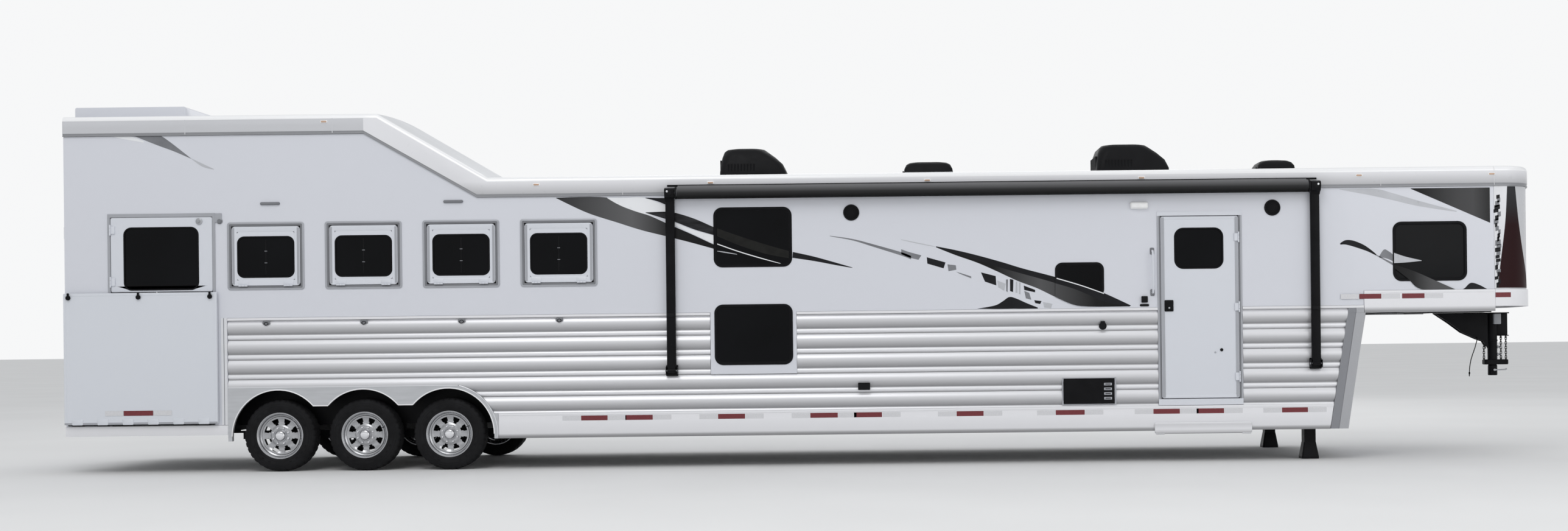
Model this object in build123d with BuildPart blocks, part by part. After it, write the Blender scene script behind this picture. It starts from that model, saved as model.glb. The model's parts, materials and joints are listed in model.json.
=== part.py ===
from build123d import *
import os
from math import cos, degrees, hypot, pi, radians, sin, sqrt, tan

os.makedirs("parts", exist_ok=True)

# A gooseneck horse trailer with living quarters. +X points to the nose, the ramp side is -Y, +Z is up,
# and the origin is on the ground under the middle of the trailer. Distances called stations are measured
# forward from the rear face. Millimetres and degrees.

# Overall sizes
overall_length = 15150  # rear face to the middle of the bowed nose
half_width = 1220  # to the crest of the side slats
wall_out = 1210  # outer face of the smooth wall panels
wall_in = 1180
body_bottom = 316
rear_bottom = 380  # lower edge behind the wheels
belt = 1570  # top of the slatted lower wall
front_roof = 2976
rear_roof = 3640
roof_break_rear = 3200  # where the raised rear roof starts to fall
roof_break_front = 4319
roof_crown = 45
roof_skin = 30
trim_in = 1150
trim_out = 1226
trim_height = 205
seam = 2  # joint between neighbouring panels

# Nose
nose_bottom = 1496
nose_rail_top = 1719
nose_corner_radius = 340
bow_angle = 19.4  # half angle of the bowed front
nose_wrap_start = 14575
wall_foot = 13062  # foot of the sloping front wall
wall_head = 13258
wall_plate = 30
front_post = 182

# Lower wall, rails and floor
slat_pitch = 201
slat_top = 1543
slat_rows = 5
rail_top = 570
rail_out = 1224
rail_height_sill = 480
floor_top = 501
floor_board = 34
main_rail_top = 400
nose_deck_top = 1654

# Wheels and axles
wheel_first = 2167
wheel_pitch = 865
tyre_radius = 365
tyre_width = 215
tyre_centre = 1087
bead_radius = 224.5
rim_flange_radius = 238
rim_half = 96
arm_length = 150
arm_drop = 30
tube_size = 80
tube_wall = 8
arm_in = 930
arm_thick = 44
arch_radius = 470
fender_top = 864
fender_end_radius = 510
fender_lip_radius = 508  # front lip of the fender panel, about the last wheel
valley_height = 304
well_in = 900
well_top = 900
sheet = 12

# Ramp end
ramp_front = 1564
ramp_bottom = 489
ramp_top = 1838
ramp_thick = 40
rear_opening = (470, 1516)
rear_opening_top = 2610
post_front = 1655

# Side openings: (station of centre, width, bottom, top)
feed_first = 2055
feed_pitch = 995
feed_count = 4
feed_width = 704
feed_bottom = 1894
feed_height = 612
door_rear = 11170
door_front = 11970
door_sill = 640
door_head = 2500
window_a = (7018, 799, 2030, 2641)
window_b = (7018, 799, 1034, 1652)
window_c = (10344, 500, 1690, 2040)
nose_window = (13917, 755, 1810, 2417)
stall_windows = [(feed_first + feed_pitch * i, 560, 1990, 2390) for i in range(feed_count)]
left_windows = [window_a, (9500, 799, 2030, 2641), nose_window]
frame_lap = 20  # how far a window frame laps over the wall
flat_panel = (6576, 7457)
flat_panel_bottom = 942
heater = (10171, 10685, 600, 855)

# Fronts of the fitted parts
frame_out = 1218
leaf_gap = 4
hinge_line = 1228
door_thick = 40

# Landing gear and coupler
leg_station = 12725
leg_side = 940
leg_tube = 134
leg_inner = 118
foot_size = 176
leg_tube_end = 300
coupler_station = 14960
neck_radius = 51
ram_radius = 44.5
ball_bore = 29.6
neck_end = 985
chain_bracket = 1240
chain_wire = 4.5
link_inner = 26
link_width = 12
chain_gap = 0.4
chain_pitch = link_inner - chain_gap
chain_foot = neck_end + 2 + 2 * chain_wire + link_inner / 2
rear_chain = (14868, 0, 7)
front_chains = ((15100, -20, 9), (15060, 20, 9))
coupler_end = 813

# Awning
awning_rear = 6134
awning_front = 12786
awning_pivot_z = 985
awning_pivot_y = 1264
roller_z = 2786
roller_y = 1296
roll_radius = 66
tube_radius = 42
arm_width = 100

bow_radius = (wall_out - nose_corner_radius * (1 - sin(radians(bow_angle)))) / sin(radians(bow_angle))
nose_side_end = (
    overall_length
    - nose_corner_radius * cos(radians(bow_angle))
    - bow_radius * (1 - cos(radians(bow_angle)))
)
bow_centre = overall_length - bow_radius
corner_y = wall_out - nose_corner_radius
wheel_stations = [wheel_first + wheel_pitch * i for i in range(3)]
feed_stations = [feed_first + feed_pitch * i for i in range(feed_count)]
fender_rear = wheel_stations[0] - fender_end_radius
fender_front = wheel_stations[-1] + fender_end_radius
lip_start = wheel_stations[-1] + sqrt(fender_lip_radius ** 2 - (fender_top - tyre_radius) ** 2)
RIGHT, LEFT = -1, 1


def at(station):
    """World x of a station."""
    return station - overall_length / 2


def side_plane(side, inner, depth):
    """X-Z plane on which an extrusion of this depth fills inner..inner + depth on one side."""
    return Plane.XZ.offset(inner if side == RIGHT else -inner - depth)


def prism(outline, side, inner, depth, mode=Mode.ADD):
    """A plate with a station-height outline, from inner to inner + depth on one side."""
    with BuildSketch(side_plane(side, inner, depth)) as face:
        with BuildLine():
            Polyline(*[(at(x), z) for x, z in outline], close=True)
        make_face()
    extrude(face.sketch, amount=depth, mode=mode)


def across(outline, half, mode=Mode.ADD):
    """A bar that runs across the trailer, with a station-height outline."""
    with BuildSketch(Plane.XZ) as face:
        with BuildLine():
            Polyline(*[(at(x), z) for x, z in outline], close=True)
        make_face()
    extrude(face.sketch, amount=half, both=True, mode=mode)


def block(x, y, z, mode=Mode.ADD):
    """A box from station, y and z spans."""
    middle = [sum(span) / 2 for span in (x, y, z)]
    size = [abs(span[1] - span[0]) for span in (x, y, z)]
    with Locations((at(middle[0]), middle[1], middle[2])):
        Box(*size, mode=mode)


def side_block(side, x, inner, outer, z, mode=Mode.ADD):
    """A box on one side of the trailer, between two distances from its middle."""
    block(x, (side * inner, side * outer), z, mode)


def rod(centre, radius, length, direction, mode=Mode.ADD):
    """A round bar centred on a point."""
    with BuildSketch(Plane(origin=centre, z_dir=direction)) as face:
        Circle(radius)
    extrude(face.sketch, amount=length / 2, both=True, mode=mode)


def rounded_ring(side, centre, size, border, radius, inner, depth):
    """A window frame: a rounded rectangle with a rounded opening."""
    with BuildSketch(side_plane(side, inner, depth)) as face:
        with Locations((at(centre[0]), centre[1])):
            RectangleRounded(size[0], size[1], radius)
            hole = (size[0] - 2 * border, size[1] - 2 * border)
            RectangleRounded(hole[0], hole[1], max(radius - border, 5), mode=Mode.SUBTRACT)
    extrude(face.sketch, amount=depth)


def rounded_plate(side, centre, size, radius, inner, depth, mode=Mode.ADD):
    """A plate with rounded corners on one side wall."""
    with BuildSketch(side_plane(side, inner, depth)) as face:
        with Locations((at(centre[0]), centre[1])):
            RectangleRounded(size[0], size[1], radius)
    extrude(face.sketch, amount=depth, mode=mode)


def nose_corner(side, start, proud, thick, low, high):
    """A wall strip that runs along one side and round the nose corner."""
    outer = nose_corner_radius + proud
    inner = outer - thick
    turn = side * (bow_angle - 90)
    centre = (at(nose_side_end), side * corner_y)
    with BuildSketch(Plane.XY.offset(low)) as face:
        with BuildLine():
            out_arc = CenterArc(centre, outer, side * 90, turn)
            in_arc = CenterArc(centre, inner, side * 90, turn)
            out_start = (at(start), side * (corner_y + outer))
            in_start = (at(start), side * (corner_y + inner))
            Line(out_start, out_arc @ 0)
            Line(in_start, in_arc @ 0)
            Line(out_start, in_start)
            Line(out_arc @ 1, in_arc @ 1)
        make_face()
    extrude(face.sketch, amount=high - low)


def nose_front(proud, thick, low, high):
    """The bowed strip between the two nose corners, short of them by a seam."""
    angle = bow_angle - degrees(seam / bow_radius)
    centre = (at(bow_centre), 0)
    with BuildSketch(Plane.XY.offset(low)) as face:
        with BuildLine():
            out_arc = CenterArc(centre, bow_radius + proud, -angle, 2 * angle)
            in_arc = CenterArc(centre, bow_radius + proud - thick, -angle, 2 * angle)
            Line(out_arc @ 0, in_arc @ 0)
            Line(out_arc @ 1, in_arc @ 1)
        make_face()
    extrude(face.sketch, amount=high - low)


def nose_plan(start, inset, low, high, mode=Mode.ADD):
    """A deck with the trailer's plan, set in from the wall's outer face."""
    outer = nose_corner_radius - inset
    with BuildSketch(Plane.XY.offset(low)) as face:
        with BuildLine():
            right = CenterArc((at(nose_side_end), -corner_y), outer, -90, 90 - bow_angle)
            bow = CenterArc((at(bow_centre), 0), bow_radius - inset, -bow_angle, 2 * bow_angle)
            left = CenterArc((at(nose_side_end), corner_y), outer, 90, bow_angle - 90)
            rear_right = (at(start), -corner_y - outer)
            rear_left = (at(start), corner_y + outer)
            Line(rear_right, right @ 0)
            Line(left @ 0, rear_left)
            Line(rear_left, rear_right)
        make_face()
    extrude(face.sketch, amount=high - low, mode=mode)


def save(part, name):
    """Write one finished node."""
    part.label = name
    export_step(part, f"parts/{name}.step")


def slope_station(z):
    """Station of the sloping front wall's outer face at a height."""
    return wall_foot + (z - body_bottom) * (wall_head - wall_foot) / (nose_bottom - body_bottom)


# Roof line: where the top trim's lower edge bends
trim_break_rear = roof_break_rear - 134
trim_break_front = roof_break_front - 104
front_wall_top = front_roof - trim_height
rear_wall_top = rear_roof - trim_height


def wall_top(station):
    """Height of the wall's top edge, under the trim."""
    if station <= trim_break_rear:
        return rear_wall_top
    if station >= trim_break_front:
        return front_wall_top
    share = (station - trim_break_rear) / (trim_break_front - trim_break_rear)
    return rear_wall_top + share * (front_wall_top - rear_wall_top)


def wall_bays(side, bays):
    """Side wall panels. A bay is (rear, front, bottom, [(low, high), ...]) with its openings."""
    for rear, front, bottom, openings in bays:
        cuts = [b for b in (trim_break_rear, trim_break_front) if rear < b < front]
        ends = [rear, *cuts, front]
        for a, b in zip(ends, ends[1:]):
            low = bottom
            for gap_low, gap_high in openings:
                outline = [(a, low), (b - seam, low), (b - seam, gap_low), (a, gap_low)]
                prism(outline, side, wall_in, wall_out - wall_in)
                low = gap_high
            outline = [(a, low), (b - seam, low), (b - seam, wall_top(b - seam)), (a, wall_top(a))]
            prism(outline, side, wall_in, wall_out - wall_in)


def window_bays(windows, start, end, bottom):
    """Bays between two stations, with one opening per window and solid bays between them."""
    bays = []
    rear = start
    for centre, width, low, high in windows:
        half = width / 2 - frame_lap
        bays.append((rear, centre - half, bottom, []))
        bays.append((centre - half, centre + half, bottom, [(low + frame_lap, high - frame_lap)]))
        rear = centre + half
    bays.append((rear, end, bottom, []))
    return bays


# Body walls -------------------------------------------------------------------------------------------
above_belt = belt + seam
above_nose_rail = nose_rail_top + seam
above_rail = rail_top + seam
feeds = [
    (s, feed_width + 2 * frame_lap, feed_bottom - frame_lap, feed_bottom + feed_height + frame_lap)
    for s in feed_stations
]
nose_rail_start = wall_head - 18

with BuildPart() as body_walls:
    sill = rail_height_sill + seam
    right = [
        (2, rear_opening[0], sill, []),
        (rear_opening[1], post_front, sill, []),
    ]
    right += window_bays(feeds, post_front, flat_panel[0], above_belt)
    a_half = window_a[1] / 2 - frame_lap
    a_rear, a_front = window_a[0] - a_half, window_a[0] + a_half
    b_holes = [(window_b[2] + frame_lap, window_b[3] - frame_lap)]
    a_holes = [(window_a[2] + frame_lap, window_a[3] - frame_lap)]
    right += [
        (flat_panel[0], a_rear, flat_panel_bottom, []),
        (a_rear, a_front, flat_panel_bottom, b_holes + a_holes),
        (a_front, flat_panel[1], flat_panel_bottom, []),
    ]
    right += window_bays([window_c], flat_panel[1], door_rear - 32, above_belt)
    right += [
        (door_rear - 32, door_rear, above_rail, []),
        (door_front, door_front + 30, above_rail, []),
        (door_front + 30, nose_rail_start, above_belt, []),
    ]
    right += window_bays([nose_window], nose_rail_start, nose_wrap_start, above_nose_rail)
    wall_bays(RIGHT, right)
    # over the rear opening and the entry door, and the sill under the door
    head = rear_opening_top
    low_rear, low_front = rear_opening[0], rear_opening[1] - seam
    prism(
        [(low_rear, head), (low_front, head), (low_front, rear_wall_top), (low_rear, rear_wall_top)],
        RIGHT, wall_in, wall_out - wall_in,
    )
    side_block(
        RIGHT, (door_rear, door_front - seam), wall_in, wall_out, (door_head + leaf_gap, front_wall_top)
    )
    side_block(RIGHT, (door_rear, door_front - seam), wall_in, wall_out, (above_rail, door_sill - leaf_gap))
    # the left wall
    left = window_bays(stall_windows, 2, 5800, above_belt)
    left += window_bays(left_windows[:2], 5800, nose_rail_start, above_belt)
    left += window_bays(left_windows[2:], nose_rail_start, nose_wrap_start, above_nose_rail)
    wall_bays(LEFT, left)
    # nose
    for side in (RIGHT, LEFT):
        nose_corner(side, nose_wrap_start, 0, wall_out - wall_in, above_nose_rail, front_wall_top)
    nose_front(0, wall_out - wall_in, above_nose_rail, front_wall_top)
    # sloping front wall and its corner posts
    slope = [(wall_foot, body_bottom), (wall_head, nose_bottom)]
    plate = slope + [(x - wall_plate, z) for x, z in reversed(slope)]
    across(plate, wall_in - 1)
    post = slope + [(x - front_post, z) for x, z in reversed(slope)]
    head = [(wall_head - front_post, nose_bottom - 1), (wall_head - 18, nose_bottom - 1)]
    head += [(wall_head - 18, slat_top), (wall_head - front_post + 8, slat_top)]
    for side in (RIGHT, LEFT):
        prism(post, side, wall_in, rail_out - wall_in)
        prism(head, side, wall_in, rail_out - wall_in)
save(body_walls.part, "body_walls")

# Slatted lower walls ----------------------------------------------------------------------------------
slat_tip = 1212
slat_back = 1196


def lip_region(side, radius, outside, inner, depth):
    """Cuts what lies outside, or inside, a circle about the last wheel, forward of the lip's start."""
    middle = (at((lip_start + fender_front + 2) / 2), (rail_top + fender_top + 2) / 2)
    with BuildSketch(side_plane(side, inner, depth)) as face:
        with Locations(middle):
            Rectangle(fender_front + 2 - lip_start, fender_top + 2 - rail_top)
        with Locations((at(wheel_stations[-1]), tyre_radius)):
            Circle(radius, mode=Mode.SUBTRACT if outside else Mode.INTERSECT)
    extrude(face.sketch, amount=depth, mode=Mode.SUBTRACT)


def slat(side, rear, front, foot):
    """One slat: a bead at the foot and a convex face above it."""
    top = foot + slat_pitch - seam
    with BuildSketch(Plane.YZ.offset(at(rear))) as face:
        with BuildLine():
            points = [(wall_in, top), (wall_in, foot), (slat_back, foot), (slat_back, foot + 8)]
            Polyline(*[(side * w, z) for w, z in points])
            ThreePointArc(
                (side * slat_back, foot + 8), (side * slat_tip, foot + 32), (side * slat_back, foot + 56)
            )
            Line((side * slat_back, foot + 56), (side * (slat_back + 2), foot + 64))
            ThreePointArc(
                (side * (slat_back + 2), foot + 64),
                (side * half_width, foot + 144),
                (side * slat_back, top - 4),
            )
            Polyline((side * slat_back, top - 4), (side * slat_back, top), (side * wall_in, top))
        make_face()
    extrude(face.sketch, amount=front - rear)


with BuildPart() as side_slats:
    front_end = wall_head
    for row in range(slat_rows):
        foot = slat_top - slat_pitch * (row + 1)
        beside_wheels = foot < fender_top
        runs = [(door_front + 32, front_end)]
        if beside_wheels:
            runs += [(lip_start, door_rear - 34)]
        else:
            runs += [(post_front + seam, flat_panel[0] - seam), (flat_panel[1], door_rear - 34)]
        for rear, front in runs:
            slat(RIGHT, rear, front, foot)
        if beside_wheels:
            slat(LEFT, 62, fender_rear - seam, foot)
            slat(LEFT, lip_start, front_end, foot)
        else:
            slat(LEFT, 62, front_end, foot)
    # the strip over the wheels, cut from the row that the fender panel crosses
    foot = slat_top - slat_pitch * 4
    slat(RIGHT, post_front + seam, fender_front, foot)
    slat(LEFT, fender_rear, fender_front, foot)
    for side in (RIGHT, LEFT):
        side_block(
            side, (fender_rear - 1, lip_start), wall_in - 5, half_width + 5,
            (foot - 5, fender_top + 1), Mode.SUBTRACT,
        )
        lip_region(side, fender_lip_radius + seam, False, wall_in - 5, half_width - wall_in + 10)
        # short of the sloping corner post, and down to the rail
        behind_post = [(x - front_post - seam, z) for x, z in slope]
        stretch = (behind_post[1][0] - behind_post[0][0]) / (nose_bottom - body_bottom)
        high = slat_top + 50
        low = body_bottom
        top_x = behind_post[0][0] + stretch * (high - body_bottom)
        wedge = [(behind_post[0][0], low), (14000, low), (14000, high), (top_x, high)]
        prism(wedge, side, wall_in - 5, 60, Mode.SUBTRACT)
        side_block(
            side, (0, 14000), wall_in - 5, half_width + 5, (rail_top - slat_pitch, rail_top + 1), Mode.SUBTRACT
        )
    side_block(
        RIGHT, (heater[0] - 3, heater[1] + 3), wall_in - 5, half_width + 5,
        (heater[2] - 3, heater[3] + 3), Mode.SUBTRACT,
    )
save(side_slats.part, "side_slats")

# Rails along the sides --------------------------------------------------------------------------------
tape_groove = 4


def side_rail(side, rear, front, low, high, groove):
    """A rail with a shallow channel for the reflector tape."""
    prism(
        [(rear, low), (front(low), low), (front(high), high), (rear, high)], side, wall_in,
        rail_out - wall_in,
    )
    if groove:
        side_block(
            side, (rear - 1, 14700), rail_out - tape_groove, rail_out + 5, groove, Mode.SUBTRACT
        )


def post_line(z):
    return slope_station(z) - front_post - seam


with BuildPart() as body_rails:
    for side in (RIGHT, LEFT):
        side_rail(side, fender_front + seam, post_line, body_bottom, rail_top, (478, 548))
        side_rail(side, wall_head - 16, lambda z: nose_wrap_start, nose_bottom, nose_rail_top, (1625, 1695))
        nose_corner(
            side, nose_wrap_start + seam, rail_out - wall_out, rail_out - wall_in,
            nose_bottom + 50, nose_rail_top,
        )
    nose_front(rail_out - wall_out, rail_out - wall_in, nose_bottom + 50, nose_rail_top)
    side_rail(RIGHT, 2, lambda z: fender_rear - seam, rear_bottom, rail_height_sill, None)
    side_rail(LEFT, 2, lambda z: fender_rear - seam, rear_bottom, rail_top, None)
    belt_low = slat_top + 1
    belt_runs = [
        (RIGHT, post_front + seam, flat_panel[0] - seam),
        (RIGHT, flat_panel[1], door_rear - 34),
        (RIGHT, door_front + 32, nose_rail_start - seam),
        (LEFT, 62, nose_rail_start - seam),
    ]
    for side, rear, front in belt_runs:
        side_block(side, (rear, front), wall_in, half_width + 2, (belt_low, belt))
save(body_rails.part, "body_rails")

# Fender panels with scalloped wheel openings ----------------------------------------------------------
with BuildPart() as fender_panels:
    for side in (RIGHT, LEFT):
        outline = [
            (fender_rear, body_bottom),
            (fender_front, body_bottom),
            (fender_front, fender_top),
            (fender_rear, fender_top),
        ]
        prism(outline, side, wall_in, 1228 - wall_in)
        lip_region(side, fender_lip_radius, True, wall_in - 1, 1230 - wall_in)
        for station in wheel_stations:
            rod((at(station), side * wall_out, tyre_radius), arch_radius, 120, (0, 1, 0), Mode.SUBTRACT)
            side_block(
                side, (station - arch_radius, station + arch_radius), wall_in - 5, half_width + 20,
                (0, tyre_radius), Mode.SUBTRACT,
            )
        side_block(
            side, (wheel_stations[0], wheel_stations[-1]), wall_in - 5, half_width + 20,
            (0, tyre_radius + valley_height), Mode.SUBTRACT,
        )
save(fender_panels.part, "fender_panels")

# Chassis: rails, crossmembers, axle tubes, gooseneck joists, wheel wells and landing gear tubes -------
rail_centre = 760
cross_low = main_rail_top + 1
cross_high = floor_top - floor_board - 1
cross_pitch = 610
tube_stations = [s + arm_length for s in wheel_stations]
tube_z = tyre_radius + arm_drop
joist_low = nose_bottom + 1
joist_high = nose_deck_top - floor_board - 1
neck_beam = (60, 160)

with BuildPart() as chassis_frame:
    for side in (RIGHT, LEFT):
        side_block(side, (30, 12980), rail_centre - 40, rail_centre + 40, (body_bottom, main_rail_top))
        side_block(
            side, (29, fender_rear), rail_centre - 45, rail_centre + 45,
            (body_bottom - 1, rear_bottom), Mode.SUBTRACT,
        )
        for station in tube_stations:
            half = tube_size / 2 + 1
            side_block(
                side, (station - half, station + half), rail_centre - 45, rail_centre + 45,
                (tube_z - half, main_rail_top + 1), Mode.SUBTRACT,
            )
        # gooseneck joists
        side_block(side, (wall_head + 20, 14900), *neck_beam, (joist_low, joist_high))
        for station in (13420, 13900, 14380):
            side_block(
                side, (station - 30, station + 30), neck_beam[1] + 1, wall_in - 1, (joist_low, joist_high)
            )
        # wheel well
        well = (fender_rear + 4, fender_front - 4)
        side_block(side, well, well_in, wall_in - 1, (well_top - sheet, well_top))
        side_block(side, well, well_in, well_in + sheet, (floor_top - floor_board, well_top - sheet - 1))
        for station in (well[0], well[1] - sheet):
            side_block(
                side, (station, station + sheet), well_in + sheet + 1, wall_in - 1,
                (cross_low, well_top - sheet - 1),
            )
        # landing gear tube, inside the body down to its lower edge
        centre = (leg_station, side * leg_side)
        half = leg_tube / 2
        block(
            (centre[0] - half, centre[0] + half), (centre[1] - half, centre[1] + half), (leg_tube_end, 1400)
        )
        half = leg_inner / 2 + 1
        block(
            (centre[0] - half, centre[0] + half), (centre[1] - half, centre[1] + half),
            (leg_tube_end - 1, 1390), Mode.SUBTRACT,
        )
    for station in tube_stations:
        block(
            (station - tube_size / 2, station + tube_size / 2), (-arm_in + 5, arm_in - 5),
            (tube_z - tube_size / 2, tube_z + tube_size / 2),
        )
        bore = tube_size / 2 - tube_wall
        block(
            (station - bore, station + bore), (-arm_in, arm_in), (tube_z - bore, tube_z + bore), Mode.SUBTRACT
        )
    for i in range(21):
        station = cross_pitch / 2 + cross_pitch * i
        beside_wheels = fender_rear < station < fender_front
        reach = well_in - 2 if beside_wheels else wall_in - 2
        near_leg = abs(station - leg_station) < leg_tube / 2 + 35
        if not near_leg:
            block((station - 30, station + 30), (-reach, reach), (cross_low, cross_high))
    for side in (RIGHT, LEFT):
        block(
            (leg_station - leg_tube / 2 - 2, leg_station + leg_tube / 2 + 2),
            (side * (leg_side - leg_tube / 2 - 2), side * (leg_side + leg_tube / 2 + 2)),
            (cross_low - 20, cross_high - 200), Mode.SUBTRACT,
        )
save(chassis_frame.part, "chassis_frame")

with BuildPart() as floor_boards:
    low = floor_top - floor_board
    block((62, fender_rear + 2), (-wall_in + 2, wall_in - 2), (low, floor_top))
    block((fender_rear + 4, fender_front - 4), (-well_in + 1, well_in - 1), (low, floor_top))
    end = slope_station(low) - wall_plate - 4
    block((fender_front - 2, end), (-wall_in + 2, wall_in - 2), (low, floor_top))
    for side in (RIGHT, LEFT):
        half = leg_tube / 2 + 1
        block(
            (leg_station - half, leg_station + half), (side * (leg_side - half), side * (leg_side + half)),
            (low - 1, floor_top + 1), Mode.SUBTRACT,
        )
    nose_plan(wall_head + 4, wall_out - wall_in + 2, nose_deck_top - floor_board, nose_deck_top)
save(floor_boards.part, "floor_boards")

with BuildPart() as bulkheads:
    doorway = (200, 900)
    top = front_roof - roof_skin - 4
    span = (6400, 6430)
    block(span, (-trim_in + 2, doorway[0]), (floor_top, top))
    block(span, (doorway[1], trim_in - 2), (floor_top, top))
    block(span, (doorway[0] + 1, doorway[1] - 1), (2400, top))
save(bulkheads.part, "bulkheads")

# Roof -------------------------------------------------------------------------------------------------
roof_edge_drop = 2


def crowned(edge, rear, run, fall, overhang=0):
    """A crowned roof panel whose every cross-section is the same upright arch."""
    half = trim_in - 1 + overhang
    top = edge - roof_edge_drop - roof_crown * ((half / (trim_in - 1)) ** 2 - 1)
    middle = edge - roof_edge_drop + roof_crown
    with BuildSketch(Plane.YZ.offset(at(rear))) as face:
        with BuildLine():
            ThreePointArc((-half, top), (0, middle), (half, top))
            ThreePointArc((-half, top - roof_skin), (0, middle - roof_skin), (half, top - roof_skin))
            Line((-half, top), (-half, top - roof_skin))
            Line((half, top), (half, top - roof_skin))
        make_face()
    extrude(face.sketch, amount=hypot(run, fall), dir=(run, 0, -fall))


with BuildPart() as roof_panels:
    crowned(front_roof, roof_break_front + seam, overall_length - roof_break_front, 0, overhang=60)
    nose_plan(
        roof_break_front + 1, wall_out - trim_in + 1, front_roof - 100, front_roof + 100, Mode.INTERSECT
    )
    crowned(rear_roof, 0, roof_break_rear - seam, 0)
    crowned(
        rear_roof, roof_break_rear, roof_break_front - roof_break_rear, rear_roof - front_roof
    )
save(roof_panels.part, "roof_panels")

with BuildPart() as roof_trims:
    depth = trim_out - trim_in
    for side in (RIGHT, LEFT):
        runs = [
            [(0, rear_wall_top), (trim_break_rear, rear_wall_top), (roof_break_rear, rear_roof), (0, rear_roof)],
            [
                (trim_break_rear + seam, rear_wall_top),
                (trim_break_front, front_wall_top),
                (roof_break_front, front_roof),
                (roof_break_rear + seam, rear_roof),
            ],
            [
                (trim_break_front + seam, front_wall_top),
                (nose_wrap_start, front_wall_top),
                (nose_wrap_start, front_roof),
                (roof_break_front + seam, front_roof),
            ],
        ]
        for outline in runs:
            prism(outline, side, trim_in, depth)
        nose_corner(
            side, nose_wrap_start + seam, trim_out - wall_out, depth, front_wall_top, front_roof
        )
    nose_front(trim_out - wall_out, depth, front_wall_top, front_roof)
save(roof_trims.part, "roof_trims")

# Rear frame and doors ---------------------------------------------------------------------------------
rear_door_top = 2700
rear_door_bottom = 525
rear_post_in = 1090
rear_door_axis = 50

with BuildPart() as rear_frame:
    for side in (RIGHT, LEFT):
        side_block(side, (0, 60), rear_post_in, wall_in - 1, (rear_bottom, rear_wall_top))
    header_top = rear_roof - roof_edge_drop - roof_skin - 1
    block((0, 60), (-rear_post_in + 1, rear_post_in - 1), (rear_door_top + 10, header_top))
    block((0, 28), (-rear_post_in + 1, rear_post_in - 1), (rear_bottom, rear_door_bottom - 10))
save(rear_frame.part, "rear_frame")

for side, name in ((RIGHT, "rear_door_right"), (LEFT, "rear_door_left")):
    with BuildPart() as rear_door:
        reach = (4, rear_post_in - 8)
        side_block(side, (-44, -4), *reach, (rear_door_bottom, rear_door_top))
        side_block(side, (-50, 0), 290, 810, (1860, 2340), Mode.SUBTRACT)
        side_block(side, (-34, -14), 291, 809, (1861, 2339))
        for z in (760, 1612, 2465):
            rod((at(-rear_door_axis), side * rear_post_in, z), 8, 120, (0, 0, 1))
            side_block(side, (-56, -44), 1000, rear_post_in, (z - 40, z + 40))
        side_block(side, (-62, -44), 40, 70, (rear_door_bottom + 60, rear_door_top - 60))
    save(rear_door.part, name)

# Windows and their frames -----------------------------------------------------------------------------
frame_border = 28
pane_gap = 3
right_windows = [window_a, window_b, window_c, nose_window]
window_sets = [(RIGHT, right_windows), (LEFT, stall_windows + left_windows)]
window_radius = 88

with BuildPart() as opening_frames:
    for side, windows in window_sets:
        for centre, width, low, high in windows:
            rounded_ring(
                side, (centre, (low + high) / 2), (width, high - low), frame_border, window_radius,
                wall_out, frame_out - wall_out,
            )
    for station in feed_stations:
        size = (783, 691)
        rounded_ring(
            RIGHT, (station, feed_bottom + feed_height / 2), size, (size[0] - feed_width) / 2, 45,
            wall_out, frame_out - wall_out,
        )
    rear_mid = (rear_opening[0] + rear_opening[1]) / 2
    with BuildSketch(side_plane(RIGHT, wall_out, frame_out - wall_out)) as face:
        with Locations((at(rear_mid), (ramp_top + 8 + 2643) / 2)):
            Rectangle(1096, 2643 - ramp_top - 8)
            Rectangle(rear_opening[1] - rear_opening[0], 2643 - ramp_top + 20, mode=Mode.SUBTRACT)
        with Locations((at(rear_mid), (rear_opening_top + 2643) / 2)):
            Rectangle(1096, 2643 - rear_opening_top)
    extrude(face.sketch, amount=frame_out - wall_out)
    door_mid = (door_rear + door_front) / 2
    with BuildSketch(side_plane(RIGHT, wall_out, frame_out - wall_out)) as face:
        with Locations((at(door_mid), (rail_top + 8 + door_head + 47) / 2)):
            Rectangle(862, door_head + 39 - rail_top)
        with Locations((at(door_mid), (door_sill + door_head) / 2)):
            Rectangle(door_front - door_rear, door_head - door_sill, mode=Mode.SUBTRACT)
    extrude(face.sketch, amount=frame_out - wall_out)
save(opening_frames.part, "opening_frames")

with BuildPart() as window_panes:
    for side, windows in window_sets:
        for centre, width, low, high in windows:
            size = (width - 2 * (frame_lap + pane_gap), high - low - 2 * (frame_lap + pane_gap))
            rounded_plate(
                side, (centre, (low + high) / 2), size, window_radius - frame_lap - pane_gap, wall_in + 12, 6
            )
save(window_panes.part, "window_panes")

# Entry door, latch and step ---------------------------------------------------------------------------
leaf_in = frame_out - 4 - door_thick
with BuildPart() as entry_door:
    width = door_front - door_rear - 2 * leaf_gap
    height = door_head - door_sill - 2 * leaf_gap
    middle = (door_mid, (door_sill + door_head) / 2)
    rounded_plate(RIGHT, middle, (width, height), 20, leaf_in, door_thick)
    glass = ((11314 + 11811) / 2, (1963 + 2378) / 2)
    glass_size = (497, 415)
    rounded_plate(RIGHT, glass, glass_size, 90, leaf_in - 1, door_thick + 2, Mode.SUBTRACT)
    rounded_plate(RIGHT, glass, (glass_size[0] - 2, glass_size[1] - 2), 89, leaf_in + 25, 6)
    for z in (860, 1570, 2280):
        rod((at(door_front - leaf_gap), -hinge_line, z), 8, 110, (0, 0, 1))
        side_block(
            RIGHT, (door_front - 50, door_front - leaf_gap), leaf_in + door_thick, hinge_line,
            (z - 40, z + 40),
        )
    block((11205, 11300), (-1219, -1214), (1530, 1645))
save(entry_door.part, "entry_door")

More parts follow.
